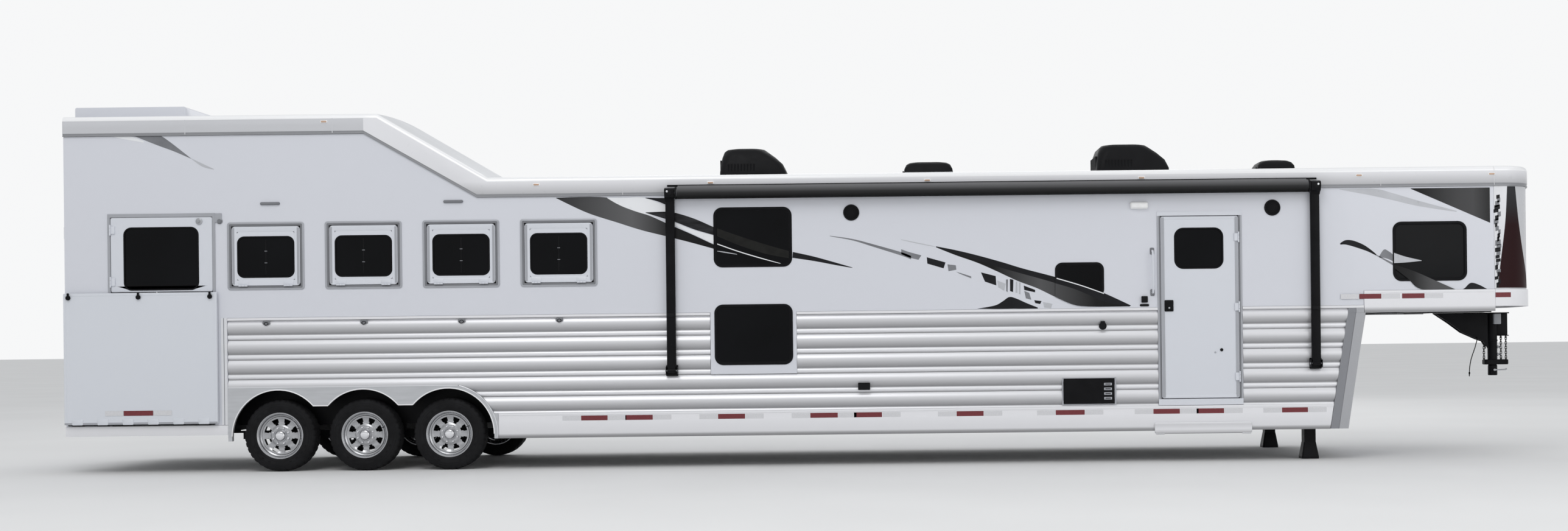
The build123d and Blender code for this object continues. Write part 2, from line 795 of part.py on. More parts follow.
paddle = (11252, 1590)
with BuildPart() as door_paddle:
    side_block(RIGHT, (paddle[0] - 34, paddle[0] + 34), 1224, 1234, (paddle[1] - 44, paddle[1] + 30))
    rod((at(paddle[0]), -1229, paddle[1] + 34), 5, 68, (1, 0, 0))
save(door_paddle.part, "door_paddle")

step_low, step_high = 285, 400
with BuildPart() as entry_step:
    rounded_plate(RIGHT, (11585, (step_low + step_high) / 2), (990, step_high - step_low), 20, 1228, 18)
    for station in (11585 - 440, 11585 + 440):
        rod((at(station), -1237, step_low), 7, 90, (1, 0, 0))
save(entry_step.part, "entry_step")

# Side ramp, its latches and the upper door ------------------------------------------------------------
ramp_in = 1226
ramp_hinge_z = 495
with BuildPart() as side_ramp:
    side_block(RIGHT, (5, ramp_front), ramp_in, ramp_in + ramp_thick, (ramp_bottom + 12, ramp_top))
    for i in range(6):
        station = 140 + i * 257
        rod((at(station), -ramp_in - ramp_thick / 2, ramp_hinge_z), 9, 130, (1, 0, 0))
save(side_ramp.part, "side_ramp")

latch_stations = (60, 773, 1500)
for number, station in enumerate(latch_stations, 1):
    with BuildPart() as ramp_latch:
        outer = ramp_in + ramp_thick
        pivot_z = ramp_top - 45
        rod((at(station), -outer - 9, pivot_z), 20, 16, (0, 1, 0))
        side_block(RIGHT, (station - 12, station + 12), outer + 1, outer + 17, (pivot_z, ramp_top + 4))
        side_block(RIGHT, (station - 10, station + 10), outer + 3, outer + 15, (pivot_z - 34, pivot_z))
    save(ramp_latch.part, f"ramp_latch_{number}")

upper_low, upper_high = ramp_top + 8, rear_opening_top - leaf_gap
with BuildPart() as upper_door:
    width = rear_opening[1] - rear_opening[0] - 2 * leaf_gap
    rounded_plate(
        RIGHT, (rear_mid, (upper_low + upper_high) / 2), (width, upper_high - upper_low), 20, leaf_in, door_thick
    )
    glass_low, glass_high = upper_low + 18, 2505
    glass = ((607 + 1372) / 2, (glass_low + glass_high) / 2)
    rounded_plate(
        RIGHT, glass, (765, glass_high - glass_low), 90, leaf_in - 1, door_thick + 2, Mode.SUBTRACT
    )
    rounded_plate(RIGHT, glass, (763, glass_high - glass_low - 2), 89, leaf_in + 25, 6)
    for z in (1950, 2480):
        rod((at(rear_opening[0] + leaf_gap), -hinge_line, z), 8, 110, (0, 0, 1))
        side_block(
            RIGHT, (rear_opening[0] + leaf_gap, rear_opening[0] + 50), leaf_in + door_thick, hinge_line,
            (z - 40, z + 40),
        )
save(upper_door.part, "upper_door")

# Drop-down feed doors ---------------------------------------------------------------------------------
for number, station in enumerate(feed_stations, 1):
    with BuildPart() as feed_door:
        middle = (station, feed_bottom + feed_height / 2)
        size = (feed_width - 2 * leaf_gap, feed_height - 2 * leaf_gap)
        rounded_plate(RIGHT, middle, size, 35, frame_out - 32, 30)
        rounded_plate(RIGHT, (station, 2190), (579, 418), 70, frame_out - 33, 32, Mode.SUBTRACT)
        rounded_plate(RIGHT, (station, 2190), (577, 416), 69, frame_out - 14, 6)
        for shift in (-230, 230):
            rod((at(station + shift), -hinge_line, feed_bottom + leaf_gap), 8, 90, (1, 0, 0))
            side_block(
                RIGHT, (station + shift - 35, station + shift + 35), frame_out - 2, hinge_line,
                (feed_bottom + leaf_gap, feed_bottom + 44),
            )
    save(feed_door.part, f"feed_door_{number}")

# Awning -----------------------------------------------------------------------------------------------
arm_stations = (awning_rear + arm_width / 2, awning_front - arm_width / 2)
arm_face = (1246, 1282)
pin_radius = 8
with BuildPart() as awning_arms:
    for station in arm_stations:
        half = arm_width / 2
        side_block(RIGHT, (station - half, station + half), *arm_face, (awning_pivot_z - 20, 2840))
        side_block(RIGHT, (station - half, station + half), arm_face[1] - 1, 1345, (2725, 2840))
        rod(
            (at(station), -awning_pivot_y, awning_pivot_z), pin_radius + 0.3, arm_width + 4,
            (1, 0, 0), Mode.SUBTRACT,
        )
        rod((at(station), -roller_y, roller_z), 12.3, arm_width + 4, (1, 0, 0), Mode.SUBTRACT)
save(awning_arms.part, "awning_arms")

roller_span = (awning_rear + arm_width + 4, awning_front - arm_width - 4)
roller_mid = at(sum(roller_span) / 2)
roller_length = roller_span[1] - roller_span[0]
with BuildPart() as awning_roller:
    rod((roller_mid, -roller_y, roller_z), tube_radius, roller_length, (1, 0, 0))
    rod((roller_mid, -roller_y, roller_z), 12, roller_length + 2 * arm_width, (1, 0, 0))
save(awning_roller.part, "awning_roller")

with BuildPart() as awning_canopy:
    rod((roller_mid, -roller_y, roller_z), roll_radius, roller_length - 40, (1, 0, 0))
    rod((roller_mid, -roller_y, roller_z), tube_radius + 0.3, roller_length, (1, 0, 0), Mode.SUBTRACT)
save(awning_canopy.part, "awning_canopy")

# Roof units -------------------------------------------------------------------------------------------
roof_mid = front_roof - roof_edge_drop + roof_crown + 2
unit_top = 3345
units = [(6608, 7320), (10642, 11419)]
vents = [(8589, 9098, 500, 3187), (12402, 12787, 380, 3170)]
pod = (20, 1180)
pod_top = rear_roof + 120
with BuildPart() as roof_units:
    for rear, front in units:
        outline = [
            (rear, roof_mid), (front, roof_mid), (front, roof_mid + 70), (front - 190, unit_top),
            (rear + 60, unit_top), (rear, unit_top - 90),
        ]
        across(outline, 350)
    for rear, front, width, top in vents:
        block((rear, front), (-width / 2, width / 2), (roof_mid, roof_mid + 50))
        block(
            (rear + 40, front - 40), (-width / 2 + 40, width / 2 - 40),
            (roof_mid - 1, roof_mid + 51), Mode.SUBTRACT,
        )
    block(pod, (-1000, 1000), (rear_roof - 20, pod_top))
    crown_radius = (trim_in - 1) ** 2 / (2 * roof_crown) + roof_crown / 2
    crown_z = rear_roof - roof_edge_drop + roof_crown - crown_radius + 2
    rod((at(sum(pod) / 2), 0, crown_z), crown_radius, 3000, (1, 0, 0), Mode.SUBTRACT)
save(roof_units.part, "roof_units")

for number, (rear, front, width, top) in enumerate(vents, 1):
    with BuildPart() as vent_lid:
        low = roof_mid + 54
        block((rear - 8, front + 8), (-width / 2 - 8, width / 2 + 8), (low, top))
        fillet(vent_lid.edges().filter_by(Axis.Z) + vent_lid.faces().sort_by(Axis.Z)[-1].edges(), 30)
        block((rear + 4, front - 4), (-width / 2 + 4, width / 2 - 4), (low - 1, top - 12), Mode.SUBTRACT)
        rod((at(rear - 16), 0, low + 8), 8, width * 0.7, (0, 1, 0))
    save(vent_lid.part, f"vent_lid_{number}")

# Lamps and wall fittings ------------------------------------------------------------------------------
with BuildPart() as lamps:
    trim_markers = [(4822, 2894), (6596, 2892), (8803, 2892), (10985, 2892), (13199, 2892), (14550, 2892)]
    for side in (RIGHT, LEFT):
        for station, z in [(2666, 3560)] + trim_markers:
            side_block(side, (station - 32, station + 32), trim_out, trim_out + 16, (z - 11, z + 11))
        for z in (700, 800, 3500):
            side_block(side, (-18, 0), rear_post_in + 10, wall_in - 10, (z - 40, z + 40))
    for station in (2104, 3971):
        side_block(RIGHT, (station - 100, station + 100), wall_out, wall_out + 22, (2718, 2748))
    side_block(RIGHT, (10958 - 92, 10958 + 92), wall_out, wall_out + 45, (2575, 2650))
save(lamps.part, "lamps")

speakers = ((8025, 2574), (12316, 2575))
ring_z = 1520
handle = (11086, 1712, 2158)
with BuildPart() as wall_fittings:
    for station, z in speakers:
        rod((at(station), -(wall_out + 9), z), 82, 18, (0, 1, 0))
    for station in feed_stations:
        side_block(
            RIGHT, (station - 37, station + 37), half_width + 1, half_width + 12,
            (ring_z - 19, ring_z + 19),
        )
    side_block(RIGHT, (11003 - 38, 11003 + 38), wall_out, wall_out + 32, (1590, 1690))
    rod((at(10574), -(half_width + 8), 1389), 39, 16, (0, 1, 0))
    side_block(RIGHT, (8136 - 61, 8136 + 61), half_width + 1, half_width + 26, (766, 839))
    rod(
        (at(handle[0]), -(wall_out + 55), (handle[1] + handle[2]) / 2), 12, handle[2] - handle[1],
        (0, 0, 1),
    )
    for z in (handle[1] + 15, handle[2] - 15):
        side_block(RIGHT, (handle[0] - 14, handle[0] + 14), wall_out, wall_out + 56, (z - 14, z + 14))
    # awning rail and lower brackets
    side_block(RIGHT, (awning_rear + 20, awning_front - 20), trim_out, trim_out + 10, (2855, 2875))
    for station in arm_stations:
        side_block(RIGHT, (station - 62, station + 62), half_width + 1, half_width + 7, (930, 1040))
        for edge in (-1, 1):
            cheek = sorted((station + edge * 53, station + edge * 59))
            side_block(RIGHT, cheek, half_width + 7, 1290, (945, 1025))
        rod((at(station), -awning_pivot_y, awning_pivot_z), pin_radius, 130, (1, 0, 0))
    # liner behind the heater door
    block(
        (heater[0] + 2, heater[1] - 2), (-half_width + 19, -1020), (heater[2] + 2, heater[3] - 2)
    )
    block(
        (heater[0] + 8, heater[1] - 8), (-half_width + 10, -1026), (heater[2] + 8, heater[3] - 8), Mode.SUBTRACT
    )
save(wall_fittings.part, "wall_fittings")

with BuildPart() as heater_door:
    size = (heater[1] - heater[0], heater[3] - heater[2])
    middle = ((heater[0] + heater[1]) / 2, (heater[2] + heater[3]) / 2)
    rounded_plate(RIGHT, middle, size, 8, 1204, 18)
    rod((at(heater[0]), -1228, middle[1]), 6, 200, (0, 0, 1))
save(heater_door.part, "heater_door")

# Wheels, tyres and torsion axles ----------------------------------------------------------------------
window_count = 8
nut_circle = 82.5


def wheel_plane(station, side):
    """Plane with x pointing outboard and y up, on the wheel's axis at its middle."""
    return Plane(
        origin=(at(station), side * tyre_centre, tyre_radius), x_dir=(0, side, 0), z_dir=(side, 0, 0)
    )


def turned(station, side, outline, mode=Mode.ADD):
    """A ring turned about the wheel's axis from (outboard, radius) points."""
    with BuildSketch(wheel_plane(station, side)) as face:
        with BuildLine():
            Polyline(*outline, close=True)
        make_face()
    axis = Axis((at(station), side * tyre_centre, tyre_radius), (0, 1, 0))
    revolve(face.sketch, axis=axis, mode=mode)


half = tyre_width / 2
rib = 30
tyre_section = [(-86, bead_radius), (-88, 250), (-half, 292), (-half + 2, 318), (-half + 12, 345), (-88, tyre_radius - 4)]
for groove in (-48, 0, 48):
    tyre_section += [
        (groove - 6, tyre_radius), (groove - 5, tyre_radius - 12), (groove + 5, tyre_radius - 12),
        (groove + 6, tyre_radius),
    ]
tyre_section += [(88, tyre_radius - 4), (half - 12, 345), (half - 2, 318), (half, 292), (88, 250), (86, bead_radius)]
tyre_section += [(68, bead_radius), (74, 255), (half - 16, 292), (78, 340), (-78, 340), (-half + 16, 292)]
tyre_section += [(-74, 255), (-68, bead_radius)]

rim_section = [
    (-rim_half, rim_flange_radius), (-89, rim_flange_radius), (-89, 224), (-58, 222), (-42, 200), (42, 200),
    (58, 222), (89, 224), (89, rim_flange_radius), (rim_half, rim_flange_radius), (rim_half, 229), (82, 215),
    (63, 213), (50, 192), (-46, 192), (-63, 213), (-82, 215), (-rim_half, 229),
]
disc_section = [(30, 70), (30, 100), (44, 178), (44, 194), (58, 194), (58, 176), (46, 104), (52, 96), (52, 70)]

for side, letter in ((RIGHT, "r"), (LEFT, "l")):
    for number, station in enumerate(wheel_stations, 1):
        with BuildPart() as tyre:
            turned(station, side, tyre_section)
        save(tyre.part, f"tyre_{letter}{number}")
        with BuildPart() as rim:
            turned(station, side, rim_section)
            turned(station, side, disc_section)
            outer_face = Plane(
                origin=(at(station), side * (tyre_centre + 20), tyre_radius), x_dir=(1, 0, 0), z_dir=(
                    0, side, 0
                )
            )
            with BuildSketch(outer_face) as face:
                with PolarLocations(146, window_count, start_angle=90):
                    Trapezoid(52, 62, 78, rotation=-90)
            extrude(face.sketch, amount=60, mode=Mode.SUBTRACT)
            hub = side * (tyre_centre + 54)
            rod((at(station), hub + side * 26, tyre_radius), 46, 52, (0, 1, 0))
            with BuildSketch(outer_face.offset(32.3)) as face:
                with PolarLocations(nut_circle, 8, start_angle=22.5):
                    RegularPolygon(13, 6)
            extrude(face.sketch, amount=24)
        save(rim.part, f"rim_{letter}{number}")

drum_radius = 160
for number, station in enumerate(wheel_stations, 1):
    with BuildPart() as axle:
        for side in (RIGHT, LEFT):
            with BuildSketch(side_plane(side, arm_in, arm_thick)) as face:
                with Locations((at(station), tyre_radius)):
                    Circle(40)
                with Locations((at(station + arm_length), tyre_radius + arm_drop)):
                    Circle(36)
                make_hull()
            extrude(face.sketch, amount=arm_thick)
            inner = tube_size / 2 - tube_wall - 6
            middle = side * (arm_in - 60 + 1)
            rod((at(station + arm_length), middle, tyre_radius + arm_drop), inner, 122, (0, 1, 0))
            rod((at(station), side * 1030, tyre_radius), 26, 116, (0, 1, 0))
            rod((at(station), side * (arm_in + arm_thick + 36), tyre_radius), drum_radius, 66, (0, 1, 0))
    save(axle.part, f"axle_{number}")

# Stall dividers ---------------------------------------------------------------------------------------
divider_length = 2715
divider_angle = 50
divider_low, divider_high = 1000, 2100
divider_hinge_y = 1140
divider_first = 4297
for number in range(1, 4):
    hinge = (
        at(divider_first + feed_pitch * (number - 1)), divider_hinge_y, (divider_low + divider_high) / 2
    )
    with BuildPart() as divider:
        with BuildSketch(Plane(origin=hinge, x_dir=(-cos(radians(divider_angle)), -sin(radians(divider_angle)), 0))) as face:
            with Locations((divider_length / 2, 0)):
                Rectangle(divider_length, 44)
        extrude(face.sketch, amount=(divider_high - divider_low) / 2, both=True)
        rod(hinge, 24, divider_high - divider_low + 100, (0, 0, 1))
    save(divider.part, f"divider_{number}")

# Landing legs and coupler -----------------------------------------------------------------------------
with BuildPart() as landing_legs:
    for side in (RIGHT, LEFT):
        centre = (at(leg_station), side * leg_side, 0)
        half = leg_inner / 2
        block(
            (leg_station - half, leg_station + half), (centre[1] - half, centre[1] + half), (20, 1100)
        )
        with BuildSketch(Plane.XY) as low_face:
            with Locations((centre[0], centre[1])):
                RectangleRounded(foot_size, foot_size, 20)
        with BuildSketch(Plane.XY.offset(22)) as mid_face:
            with Locations((centre[0], centre[1])):
                RectangleRounded(foot_size, foot_size, 20)
        extrude(low_face.sketch, amount=22)
        with BuildSketch(Plane.XY.offset(170)) as high_face:
            with Locations((centre[0], centre[1])):
                RectangleRounded(leg_inner + 6, leg_inner + 6, 10)
        loft([mid_face.sketch.face(), high_face.sketch.face()])
save(landing_legs.part, "landing_legs")


def chain_lug(station, y, pin_z, heights):
    """Two cheeks with a pin between them, through the end link of a chain."""
    for shift in (-9, 9):
        block((station - 7, station + 7), (y + shift - 3, y + shift + 3), heights)
    rod((at(station), y, pin_z), 3.5, 22, (0, 1, 0))


gusset = [
    (14327, joist_low - 2), (14491, 1386), (14623, 1285), (14782, 1211), (14848, 1184), (14868, 1150),
    (14880, 1150), (14880, joist_low - 2),
]
neck_x = at(coupler_station)
with BuildPart() as coupler_neck:
    for side in (RIGHT, LEFT):
        prism(gusset, side, 30, 12)
        side_block(side, (14880, 14900), 30, 42, (1100, joist_low - 2))
    rod((neck_x, 0, (joist_low - 2 + neck_end) / 2), neck_radius, joist_low - 2 - neck_end, (0, 0, 1))
    rod((neck_x, 0, 1300), ram_radius + 0.8, 900, (0, 0, 1), Mode.SUBTRACT)
    block((14861, 15119), (-60, 60), (neck_end - 55, neck_end))
    rod((neck_x, 0, neck_end), ram_radius + 0.8, 200, (0, 0, 1), Mode.SUBTRACT)
    block((14905, 15110), (-110, 110), (joist_low - 14, joist_low - 2))
    block((15008, 15125), (-6, 6), (chain_bracket, joist_low - 14))
    block((15013, 15125), (-50, 50), (chain_bracket, chain_bracket + 10))
    block((14950, 15026), (-96, -48), (1368, joist_low - 14))
    for station, y, links in (rear_chain, *front_chains):
        chain_lug(station, y, chain_foot - 9, (neck_end, neck_end + 21))
    for station, y, links in front_chains:
        chain_lug(
            station, y, chain_foot + chain_pitch * (links - 1) + 9, (chain_bracket - 26, chain_bracket)
        )
    rod((at(rear_chain[0]), 0, chain_foot + chain_pitch * (rear_chain[2] - 1) + 9), 3.5, 70, (0, 1, 0))
save(coupler_neck.part, "coupler_neck")

with BuildPart() as coupler_ram:
    rod((neck_x, 0, 1170), ram_radius, 520, (0, 0, 1))
    rod((neck_x, 0, (coupler_end + neck_end - 60) / 2), 50, neck_end - 60 - coupler_end, (0, 0, 1))
    rod((neck_x, 0, coupler_end + 20), ball_bore, 80, (0, 0, 1), Mode.SUBTRACT)
save(coupler_ram.part, "coupler_ram")

with BuildPart() as coupler_latch:
    rod((neck_x, -64, coupler_end + 60), 12, 20, (0, 1, 0))
    side_block(
        RIGHT, (coupler_station - 10, coupler_station + 130), 60, 72, (coupler_end + 50, coupler_end + 70)
    )
save(coupler_latch.part, "coupler_latch")


def chain(station, y, count):
    """A hanging chain of stadium-shaped links, each a quarter turn from the next."""
    for i in range(count):
        across_x = i % 2 == 0
        middle = (at(station), y, chain_foot + chain_pitch * i)
        flat = Plane(origin=middle, x_dir=(0, 0, 1), z_dir=(0, 1, 0) if across_x else (1, 0, 0))
        with BuildSketch(flat) as face:
            SlotOverall(link_inner + 4 * chain_wire, link_width + 4 * chain_wire)
            SlotOverall(link_inner, link_width, mode=Mode.SUBTRACT)
        extrude(face.sketch, amount=chain_wire, both=True)


with BuildPart() as safety_chains:
    for station, y, links in (rear_chain, *front_chains):
        chain(station, y, links)
save(safety_chains.part, "safety_chains")

# Breakaway lanyard: hangs from the right gusset plate and ends in its pin -----------------------------
cable_radius = 5
cable_y = -60
cable_points = [(14775, 1204), (14762, 1148), (14743, 1090), (14721, 1032), (14703, 972), (14692, 910), (14689, 850)]
route = [Vector(at(x), cable_y, z) for x, z in cable_points]
legs = [(b - a) for a, b in zip(route, route[1:])]
radii = []
for before, after in zip(legs, legs[1:]):
    turn = before.get_angle(after)
    radii.append(0.45 * min(before.length, after.length) / tan(radians(turn / 2)))
print("cable radii", [round(r) for r in radii])
with BuildPart() as breakaway_cable:
    with BuildLine() as path:
        FilletPolyline(*route, radius=radii)
    lanyard = path.wire()
    with BuildSketch(Plane(origin=lanyard @ 0, z_dir=lanyard % 0)) as face:
        Circle(cable_radius)
    sweep(face.sketch, path=lanyard)
section = pi * cable_radius**2
print("cable volume share", round(breakaway_cable.part.volume / (section * lanyard.length), 4))
print("cable length", round(lanyard.length, 1))
save(breakaway_cable.part, "breakaway_cable")

with BuildPart() as breakaway_pin:
    end = route[-1]
    tip = lanyard % 1
    with BuildSketch(Plane(origin=end, z_dir=tip)) as face:
        Circle(9)
    extrude(face.sketch, amount=46)
    gland = route[0]
    with BuildSketch(Plane(origin=gland, z_dir=-(lanyard % 0))) as face:
        Circle(11)
    extrude(face.sketch, amount=24)
save(breakaway_pin.part, "breakaway_pin")
print("nodes", len(os.listdir("parts")))
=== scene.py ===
import json
import random
from math import acos, cos, hypot, pi, radians, sin

import bpy
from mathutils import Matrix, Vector
from mathutils.geometry import tessellate_polygon

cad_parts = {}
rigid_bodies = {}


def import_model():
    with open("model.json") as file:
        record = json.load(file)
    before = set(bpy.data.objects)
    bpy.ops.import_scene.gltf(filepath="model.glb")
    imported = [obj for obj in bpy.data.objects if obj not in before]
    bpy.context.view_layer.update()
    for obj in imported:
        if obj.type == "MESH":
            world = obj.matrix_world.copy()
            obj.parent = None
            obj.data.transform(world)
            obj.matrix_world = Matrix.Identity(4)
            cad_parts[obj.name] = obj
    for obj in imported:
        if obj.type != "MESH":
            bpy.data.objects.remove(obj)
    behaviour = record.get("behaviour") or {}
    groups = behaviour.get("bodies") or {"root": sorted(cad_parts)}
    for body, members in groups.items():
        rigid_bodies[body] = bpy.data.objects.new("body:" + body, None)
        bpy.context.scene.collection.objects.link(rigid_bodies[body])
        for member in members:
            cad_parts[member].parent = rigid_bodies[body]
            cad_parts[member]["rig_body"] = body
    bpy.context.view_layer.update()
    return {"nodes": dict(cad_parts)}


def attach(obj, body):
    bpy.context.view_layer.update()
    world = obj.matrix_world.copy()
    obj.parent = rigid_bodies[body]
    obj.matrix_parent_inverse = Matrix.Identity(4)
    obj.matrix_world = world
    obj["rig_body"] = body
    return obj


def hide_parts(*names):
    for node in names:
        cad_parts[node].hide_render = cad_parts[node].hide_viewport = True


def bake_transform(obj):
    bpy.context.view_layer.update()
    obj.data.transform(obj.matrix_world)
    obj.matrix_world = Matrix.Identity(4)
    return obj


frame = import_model()

# Stations are millimetres forward from the rear face; w is the distance from the middle; z is height.
LENGTH = 15150
RIGHT, LEFT = -1, 1
FEEDS = [2055 + 995 * i for i in range(4)]
WHEELS = [2167 + 865 * i for i in range(3)]
AXLE_HIGH, WHEEL_OUT = 365, 1087  # height of the axles, and how far out a tyre's middle is
ARCH = 470  # radius of a wheel arch
WALL_IN, WALL_OUT = 1181, 1210  # faces of the smooth wall panels
BELT, NOSE_FOOT = 1572, 1721  # foot of the smooth panels, over the slats and in the nose
LOW_CAP, HIGH_CAP = 2770, 3434  # under the roof trim, at the front and at the raised rear
LOW_ROOF, HIGH_ROOF = 2976, 3640  # top of the roof trim
REAR_LEVEL = 3066  # station where the raised rear's trim starts to fall
NOSE_START = 14576  # station where the nose skin meets the side walls
SIDE_NAME = {RIGHT: "right", LEFT: "left"}
OUTWARD = (0, -1, 0)  # straight out of the right wall
# which ends of a loft are closed
OPEN, FIRST, LAST = (False, False), (True, False), (False, True)


def at(station):
    return (station - LENGTH / 2) / 1000


def P(station, w, z, side=RIGHT):
    """A point in metres, from its station, its distance from the middle and its height."""
    return (at(station), side * w / 1000, z / 1000)


def spot(station, y, z):
    """A point in metres, from its station, y and height."""
    return P(station, y, z, LEFT)


def placed(name, data):
    """A new object in the scene."""
    thing = bpy.data.objects.new(name, data)
    bpy.context.scene.collection.objects.link(thing)
    return thing


def smoothed(mesh, angle):
    mesh.shade_smooth()
    mesh.set_sharp_from_angle(angle=radians(angle))


def one_finish(mesh, material, angle):
    """Gives every face one material and smooth shading."""
    mesh.materials.clear()
    mesh.materials.append(material)
    mesh.polygons.foreach_set("material_index", [0] * len(mesh.polygons))
    smoothed(mesh, angle)


# Materials ----------------------------------------------------------------------------------------------
def new_material(name):
    material = bpy.data.materials.new(name)
    material.use_nodes = True
    nodes = material.node_tree.nodes
    return material, nodes, material.node_tree.links, nodes["Principled BSDF"]


def noise(nodes, links, scale, stretch=(1, 1, 1), detail=4):
    place = nodes.new("ShaderNodeTexCoord")
    turn = nodes.new("ShaderNodeMapping")
    turn.inputs["Scale"].default_value = stretch
    links.new(place.outputs["Object"], turn.inputs["Vector"])
    texture = nodes.new("ShaderNodeTexNoise")
    texture.inputs["Scale"].default_value = scale
    texture.inputs["Detail"].default_value = detail
    links.new(turn.outputs["Vector"], texture.inputs["Vector"])
    return texture.outputs["Fac"]


def ranged(nodes, links, fac, low, high):
    part = nodes.new("ShaderNodeMapRange")
    part.inputs["From Min"].default_value = 0.3
    part.inputs["From Max"].default_value = 0.7
    part.inputs["To Min"].default_value = low
    part.inputs["To Max"].default_value = high
    links.new(fac, part.inputs["Value"])
    return part.outputs["Result"]


def shade_ramp(nodes, stops):
    """A colour ramp through (position, shade) stops, each shade a grey or a red, green and blue."""
    ramp = nodes.new("ShaderNodeValToRGB")
    elements = ramp.color_ramp.elements
    while len(elements) < len(stops):
        elements.new(0.5)
    for element, (position, shade) in zip(elements, stops):
        element.position = position
        element.color = (*shade, 1) if isinstance(shade, (tuple, list)) else (shade, shade, shade * 1.03, 1)
    return ramp


def finish(name, colour, rough, metal=0.0, vary=0.06, scale=2.0, stretch=(1, 1, 1), bump=0.0, fine=60,
           coat=0.0,
           shine=0.5, uneven=0.12):
    """A painted, metal or plastic finish with uneven colour, uneven gloss and a fine surface."""
    material, nodes, links, shader = new_material(name)
    dark, light = [c * (1 - vary) for c in colour], [min(c * (1 + vary), 1) for c in colour]
    ramp = shade_ramp(nodes, [(0.3, dark), (0.7, light)])
    links.new(noise(nodes, links, scale, stretch), ramp.inputs["Fac"])
    links.new(ramp.outputs["Color"], shader.inputs["Base Color"])
    gloss = noise(nodes, links, scale * 4, stretch)
    links.new(ranged(nodes, links, gloss, rough * (1 - uneven), rough * (1 + uneven)),
              shader.inputs["Roughness"])
    shader.inputs["Metallic"].default_value = metal
    shader.inputs["Specular IOR Level"].default_value = shine
    shader.inputs["Coat Weight"].default_value = coat
    if bump:
        relief = nodes.new("ShaderNodeBump")
        relief.inputs["Strength"].default_value = bump
        relief.inputs["Distance"].default_value = 0.002
        links.new(noise(nodes, links, fine, stretch, 6), relief.inputs["Height"])
        links.new(relief.outputs["Normal"], shader.inputs["Normal"])
    return material


def fading(name, stops, axis, low, high, rough=0.3, shine=0.3):
    """Vinyl print, or painted shade and reflection, whose shade runs along one axis, from low to high, with
    fine streaks.
    """
    material, nodes, links, shader = new_material(name)
    place = nodes.new("ShaderNodeTexCoord")
    split = nodes.new("ShaderNodeSeparateXYZ")
    links.new(place.outputs["Object"], split.inputs["Vector"])
    part = nodes.new("ShaderNodeMapRange")
    part.inputs["From Min"].default_value = low
    part.inputs["From Max"].default_value = high
    links.new(split.outputs[axis], part.inputs["Value"])
    ramp = shade_ramp(nodes, stops)
    links.new(part.outputs["Result"], ramp.inputs["Fac"])
    links.new(ramp.outputs["Color"], shader.inputs["Base Color"])
    links.new(ranged(nodes, links, noise(nodes, links, 12), rough * 0.9, rough * 1.1),
              shader.inputs["Roughness"])
    shader.inputs["Specular IOR Level"].default_value = shine
    return material


def banded(name, pitch, foot, stops):
    """Bright metal with painted shade and highlights that repeat up the wall, once for each slat."""
    material, nodes, links, shader = new_material(name)
    place, split = nodes.new("ShaderNodeTexCoord"), nodes.new("ShaderNodeSeparateXYZ")
    links.new(place.outputs["Object"], split.inputs["Vector"])
    rise = nodes.new("ShaderNodeMath")
    rise.operation = "SUBTRACT"
    rise.inputs[1].default_value = foot - pitch
    links.new(split.outputs["Z"], rise.inputs[0])
    part = nodes.new("ShaderNodeMath")
    part.operation = "DIVIDE"
    part.inputs[1].default_value = pitch
    links.new(rise.outputs["Value"], part.inputs[0])
    share = nodes.new("ShaderNodeMath")
    share.operation = "FRACT"
    links.new(part.outputs["Value"], share.inputs[0])
    ramp = shade_ramp(nodes, stops)
    links.new(share.outputs["Value"], ramp.inputs["Fac"])
    links.new(ramp.outputs["Color"], shader.inputs["Base Color"])
    grain = noise(nodes, links, 1.2, (0.3, 6, 6))
    links.new(ranged(nodes, links, grain, 0.3, 0.42), shader.inputs["Roughness"])
    shader.inputs["Metallic"].default_value = 0.35
    return material


SKIN = finish("skin", (0.68, 0.693, 0.744), 0.3, vary=0.006, scale=0.6, coat=0.2, uneven=0.03)
RAMP_SKIN = finish("ramp skin", (0.683, 0.706, 0.754), 0.34, vary=0.006, scale=0.6, coat=0.15, uneven=0.03)
DOOR_SKIN = finish("door skin", (0.68, 0.70, 0.75), 0.32, vary=0.006, scale=0.8, coat=0.15, uneven=0.03)
# Painted shade and highlights on the slats: dark grooves and steps, a lit bead, and a face lighter towards
# its top.
SLAT_PAINTED_LIGHT = banded("slat", 0.201, 0.538, [(0, 0.16), (0.03, 0.58), (0.10, 0.88), (0.24, 0.86), (0.30, 0.28),
                                     (0.34, 0.40),
                                     (0.55, 0.54), (0.80, 0.78), (0.97, 0.84), (1, 0.32)])
RAIL = finish("rail", (0.78, 0.785, 0.81), 0.36, 0.5, 0.03, 1.5, (0.4, 4, 4), 0.05, 50, uneven=0.06)
BRUSHED = finish("brushed", (0.55, 0.56, 0.58), 0.4, 0.6, 0.06, 3, (1, 3, 9), 0.12, 80)
TRIM = finish("trim", (0.93, 0.93, 0.94), 0.3, 0.1, 0.02, 1.0, (0.4, 3, 3), 0.03, 30, 0.3, uneven=0.05)
# Painted shade: the raised rear's roof trim has its lower face painted as a darker copy of the white trim.
REAR_TRIM_PAINTED_SHADE = finish("trim face", (0.64, 0.645, 0.67), 0.3, 0.3, 0.02, 1.0, (0.4, 3, 3), 0.03, 30, uneven=0.05)
# Painted shadow: the drip bead at the roof trim's foot is painted dark.
TRIM_DRIP_PAINTED_SHADOW = finish("trim drip line", (0.30, 0.305, 0.32), 0.35, 0.3, 0.03, 1.0)
POST_OUTER = finish("outer post band", (0.40, 0.405, 0.425), 0.36, 0.3, 0.03, 2, (3, 3, 0.5), 0.05, 60)
POST_INNER = finish("inner post band", (0.25, 0.255, 0.275), 0.4, 0.3, 0.05, 2, (3, 3, 0.5), 0.05, 60)
